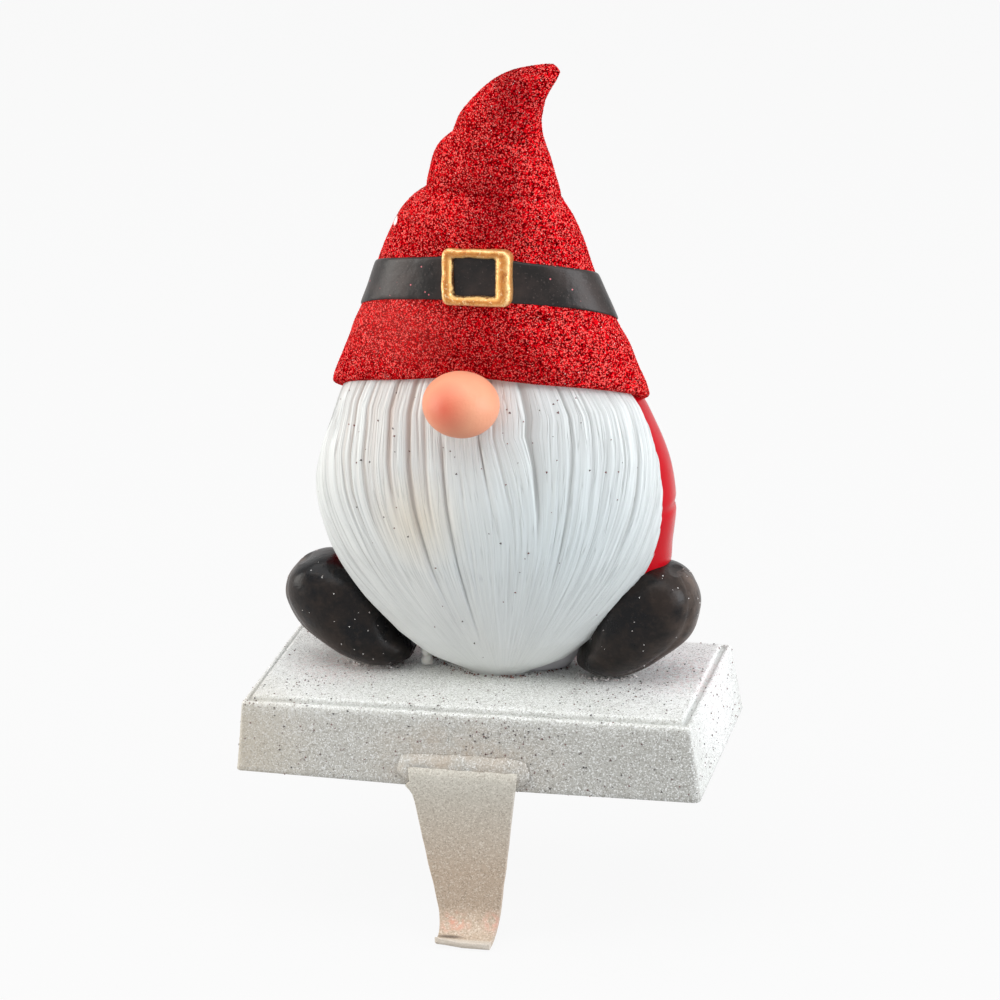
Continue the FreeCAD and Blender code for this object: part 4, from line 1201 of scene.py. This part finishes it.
def fleckShare(point):
    # in clouds on the plate, most on the front near its middle, few on the other sides
    x, y, z = point / mm
    if z > 17.4:
        return 0.25 + max(0, 2.2 * soft(point, 11 * mm, 3.6))
    if y < -23.5:
        return 0.4 + bump(x - 10, 16)
    return 0.3 if z > 2 else 0


# pieces

print("hat, belt and buckle")
hatPiece = dress(makeHat(), hatPaint(), "hat_glitter", "gnome_figure")
scatterChips("hatGlitter", hatPiece, hatChipPaint(), "hat_glitter", grains["hatGlitter"])
dress(makeBelt(), beltPaint(), "belt_paint", "gnome_figure")
dress(makeBuckle(), bucklePaint(), "buckle_gold", "gnome_figure")

print("nose, beard and coat")
dress(makeNose(), nosePaint(), "nose_paint", "gnome_figure")
beardPiece = dress(makeBeard(), beardPaint(), "beard_paint", "gnome_figure")
weigh(beardPiece, "speckShare", beardSpeckShare)
scatterChips("beardSpecks", beardPiece, speckPaint("redSpecks", (44, 22, 24), (110, 52, 50)), "hat_glitter",
             grains["beardSpecks"], "speckShare")
dress(makeCoat(), coatPaint(), "coat_paint", "gnome_figure")

print("boots")
bootBlack = bootPaint()
bootSpeck = speckPaint("whiteSpecks", (196, 188, 184), (252, 250, 248))
for bootName, side, angle in (("leftBoot", -1, 0), ("rightBoot", 1, boots["angle"])):
    bootPiece = dress(makeBoot(bootName, side, angle), bootBlack, "boot_paint", "gnome_figure")
    weigh(bootPiece, "speckShare", bootSpeckShare)
    bootGrain = {**grains["bootSpecks"], "seed": grains["bootSpecks"]["seed"] + side}
    scatterChips(bootName + "Specks", bootPiece, bootSpeck, "glitter_base", bootGrain, "speckShare")

print("base, hook, weld, glue and pad")
basePiece = dress(makeBase(), basePaint("basePaint", (216, 218, 213), (226, 227, 223)), "glitter_base",
                  "base_block")
scatterChips("baseGlitter", basePiece, baseChipPaint(), "glitter_base", grains["baseGlitter"])
weigh(basePiece, "fleckShare", fleckShare)
scatterChips("darkFlecks", basePiece, speckPaint("darkSpecks", (32, 26, 26), (104, 66, 62)), "glitter_base",
             grains["darkFlecks"], "fleckShare")
dress(makeHook(), hookPaint(), "hook_paint", "hook")
dress(makeWeld(), basePaint("weldPaint", (210, 209, 202), (204, 201, 193)), "weld_paint", "hook_weld")
field = crumbField()
scatterChips("glueCrumbs", field, speckPaint("brownCrumbs", (50, 28, 28), (150, 108, 98)), "glue",
             grains["glueCrumbs"], "crumbShare")
scatterChips("soleCrust", field, speckPaint("whiteCrust", (206, 196, 192), (252, 250, 248)), "glitter_base",
             grains["soleCrust"], "crustShare")
bpy.data.objects.remove(field)
dress(makeGlue(), gluePaint(), "glue", "glue_bead")
wear(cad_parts["non_slip_pad"], padPaint())

# studio: camera, floor and lights

print("studio")
shot = {"yaw": 15.49, "pitch": 21.32, "roll": -3.125, "distance": 0.935, "aimX": -0.00173, "aimY": -0.05675,
        "lens": 144, "sensor": 36, "farthest": 50}
studio = {"floorHalf": 6.0, "floorDrop": 0.5 * mm, "worldStrength": 0.27, "aim": (0, 0, 0.06)}

# soft lights: place, size, power, colour
softLights = {
    "softRight": ((0.95, -0.15, 0.34), (0.6, 0.8), 9.0, (250, 252, 255)),
    "softLeft": ((-0.92, -0.3, 0.32), (0.6, 0.8), 8.2, (255, 252, 246)),
    "softTop": ((0.0, -0.15, 1.0), (1.3, 1.1), 8.5, (255, 255, 255)),
}


def placeCamera():
    yaw, pitch, roll = (math.radians(shot[key]) for key in ("yaw", "pitch", "roll"))
    back = Vector((math.sin(yaw) * math.cos(pitch), -math.cos(yaw) * math.cos(pitch), math.sin(pitch)))
    right = Vector((0, 0, 1)).cross(back).normalized()
    up = back.cross(right)
    right, up = (right * math.cos(roll) + up * math.sin(roll), up * math.cos(roll) - right * math.sin(roll))
    lens = bpy.data.cameras.new("camera")
    lens.lens = shot["lens"]
    lens.sensor_width = shot["sensor"]
    lens.clip_end = shot["farthest"]
    camera = addObject("camera", lens)
    camera.matrix_world = Matrix((right, up, back)).transposed().to_4x4()
    camera.location = back * shot["distance"] - right * shot["aimX"] - up * shot["aimY"]
    bpy.context.scene.camera = camera


def seenWhite(tree, plain, white, share):
    # the camera, mirrors and glass see plain white, everything else the plain shader
    path = addNode(tree, "ShaderNodeLightPath").outputs
    seen = combine(tree, "MAXIMUM", path["Is Camera Ray"], path["Is Glossy Ray"])
    seen = combine(tree, "MAXIMUM", seen, path["Is Transmission Ray"])
    scaled = combine(tree, "MULTIPLY", seen, share)
    return addNode(tree, "ShaderNodeMixShader", {0: scaled, 1: plain, 2: white}).outputs[0]


def makeFloor():
    half, level = studio["floorHalf"], cadBox[0][2] - studio["floorDrop"]
    corners = [(-half, -half, level), (half, -half, level), (half, half, level), (-half, half, level)]
    floor = makePiece("studioFloor", corners, [(0, 1, 2, 3)])
    paint = Paint("studioFloor")
    paint.color = tone(186, 186, 186)
    wear(floor, paint.finish(Roughness=0.9, Specular_IOR_Level=0.0))
    white = paint.add("ShaderNodeEmission", {"Color": tone(254, 254, 254), "Strength": 1.0})
    seen = seenWhite(paint.tree, paint.shader.outputs[0], white.outputs[0], 0.93)
    fill(paint.tree, paint.tree.nodes["Material Output"].inputs["Surface"], seen)


def makeWorld():
    world = bpy.data.worlds.new("studio")
    world.use_nodes = True
    tree = world.node_tree
    plain = tree.nodes["Background"]
    plain.inputs["Color"].default_value = tone(240, 244, 250)
    plain.inputs["Strength"].default_value = studio["worldStrength"]
    white = addNode(tree, "ShaderNodeBackground", {"Color": tone(251, 251, 251)})
    seen = seenWhite(tree, plain.outputs[0], white.outputs[0], 1.0)
    fill(tree, tree.nodes["World Output"].inputs["Surface"], seen)
    bpy.context.scene.world = world


def softbox(name, place, size, power, color):
    light = bpy.data.lights.new(name, "AREA")
    light.shape = "RECTANGLE"
    light.size, light.size_y = size
    light.energy = power
    light.color = tone(*color)[:3]
    lamp = addObject(name, light)
    lamp.location = place
    lamp.rotation_euler = (Vector(studio["aim"]) - Vector(place)).to_track_quat("-Z", "Y").to_euler()


placeCamera()
makeFloor()
makeWorld()
for lightName, settings in softLights.items():
    softbox(lightName, *settings)
bpy.context.scene.view_settings.view_transform = "Standard"
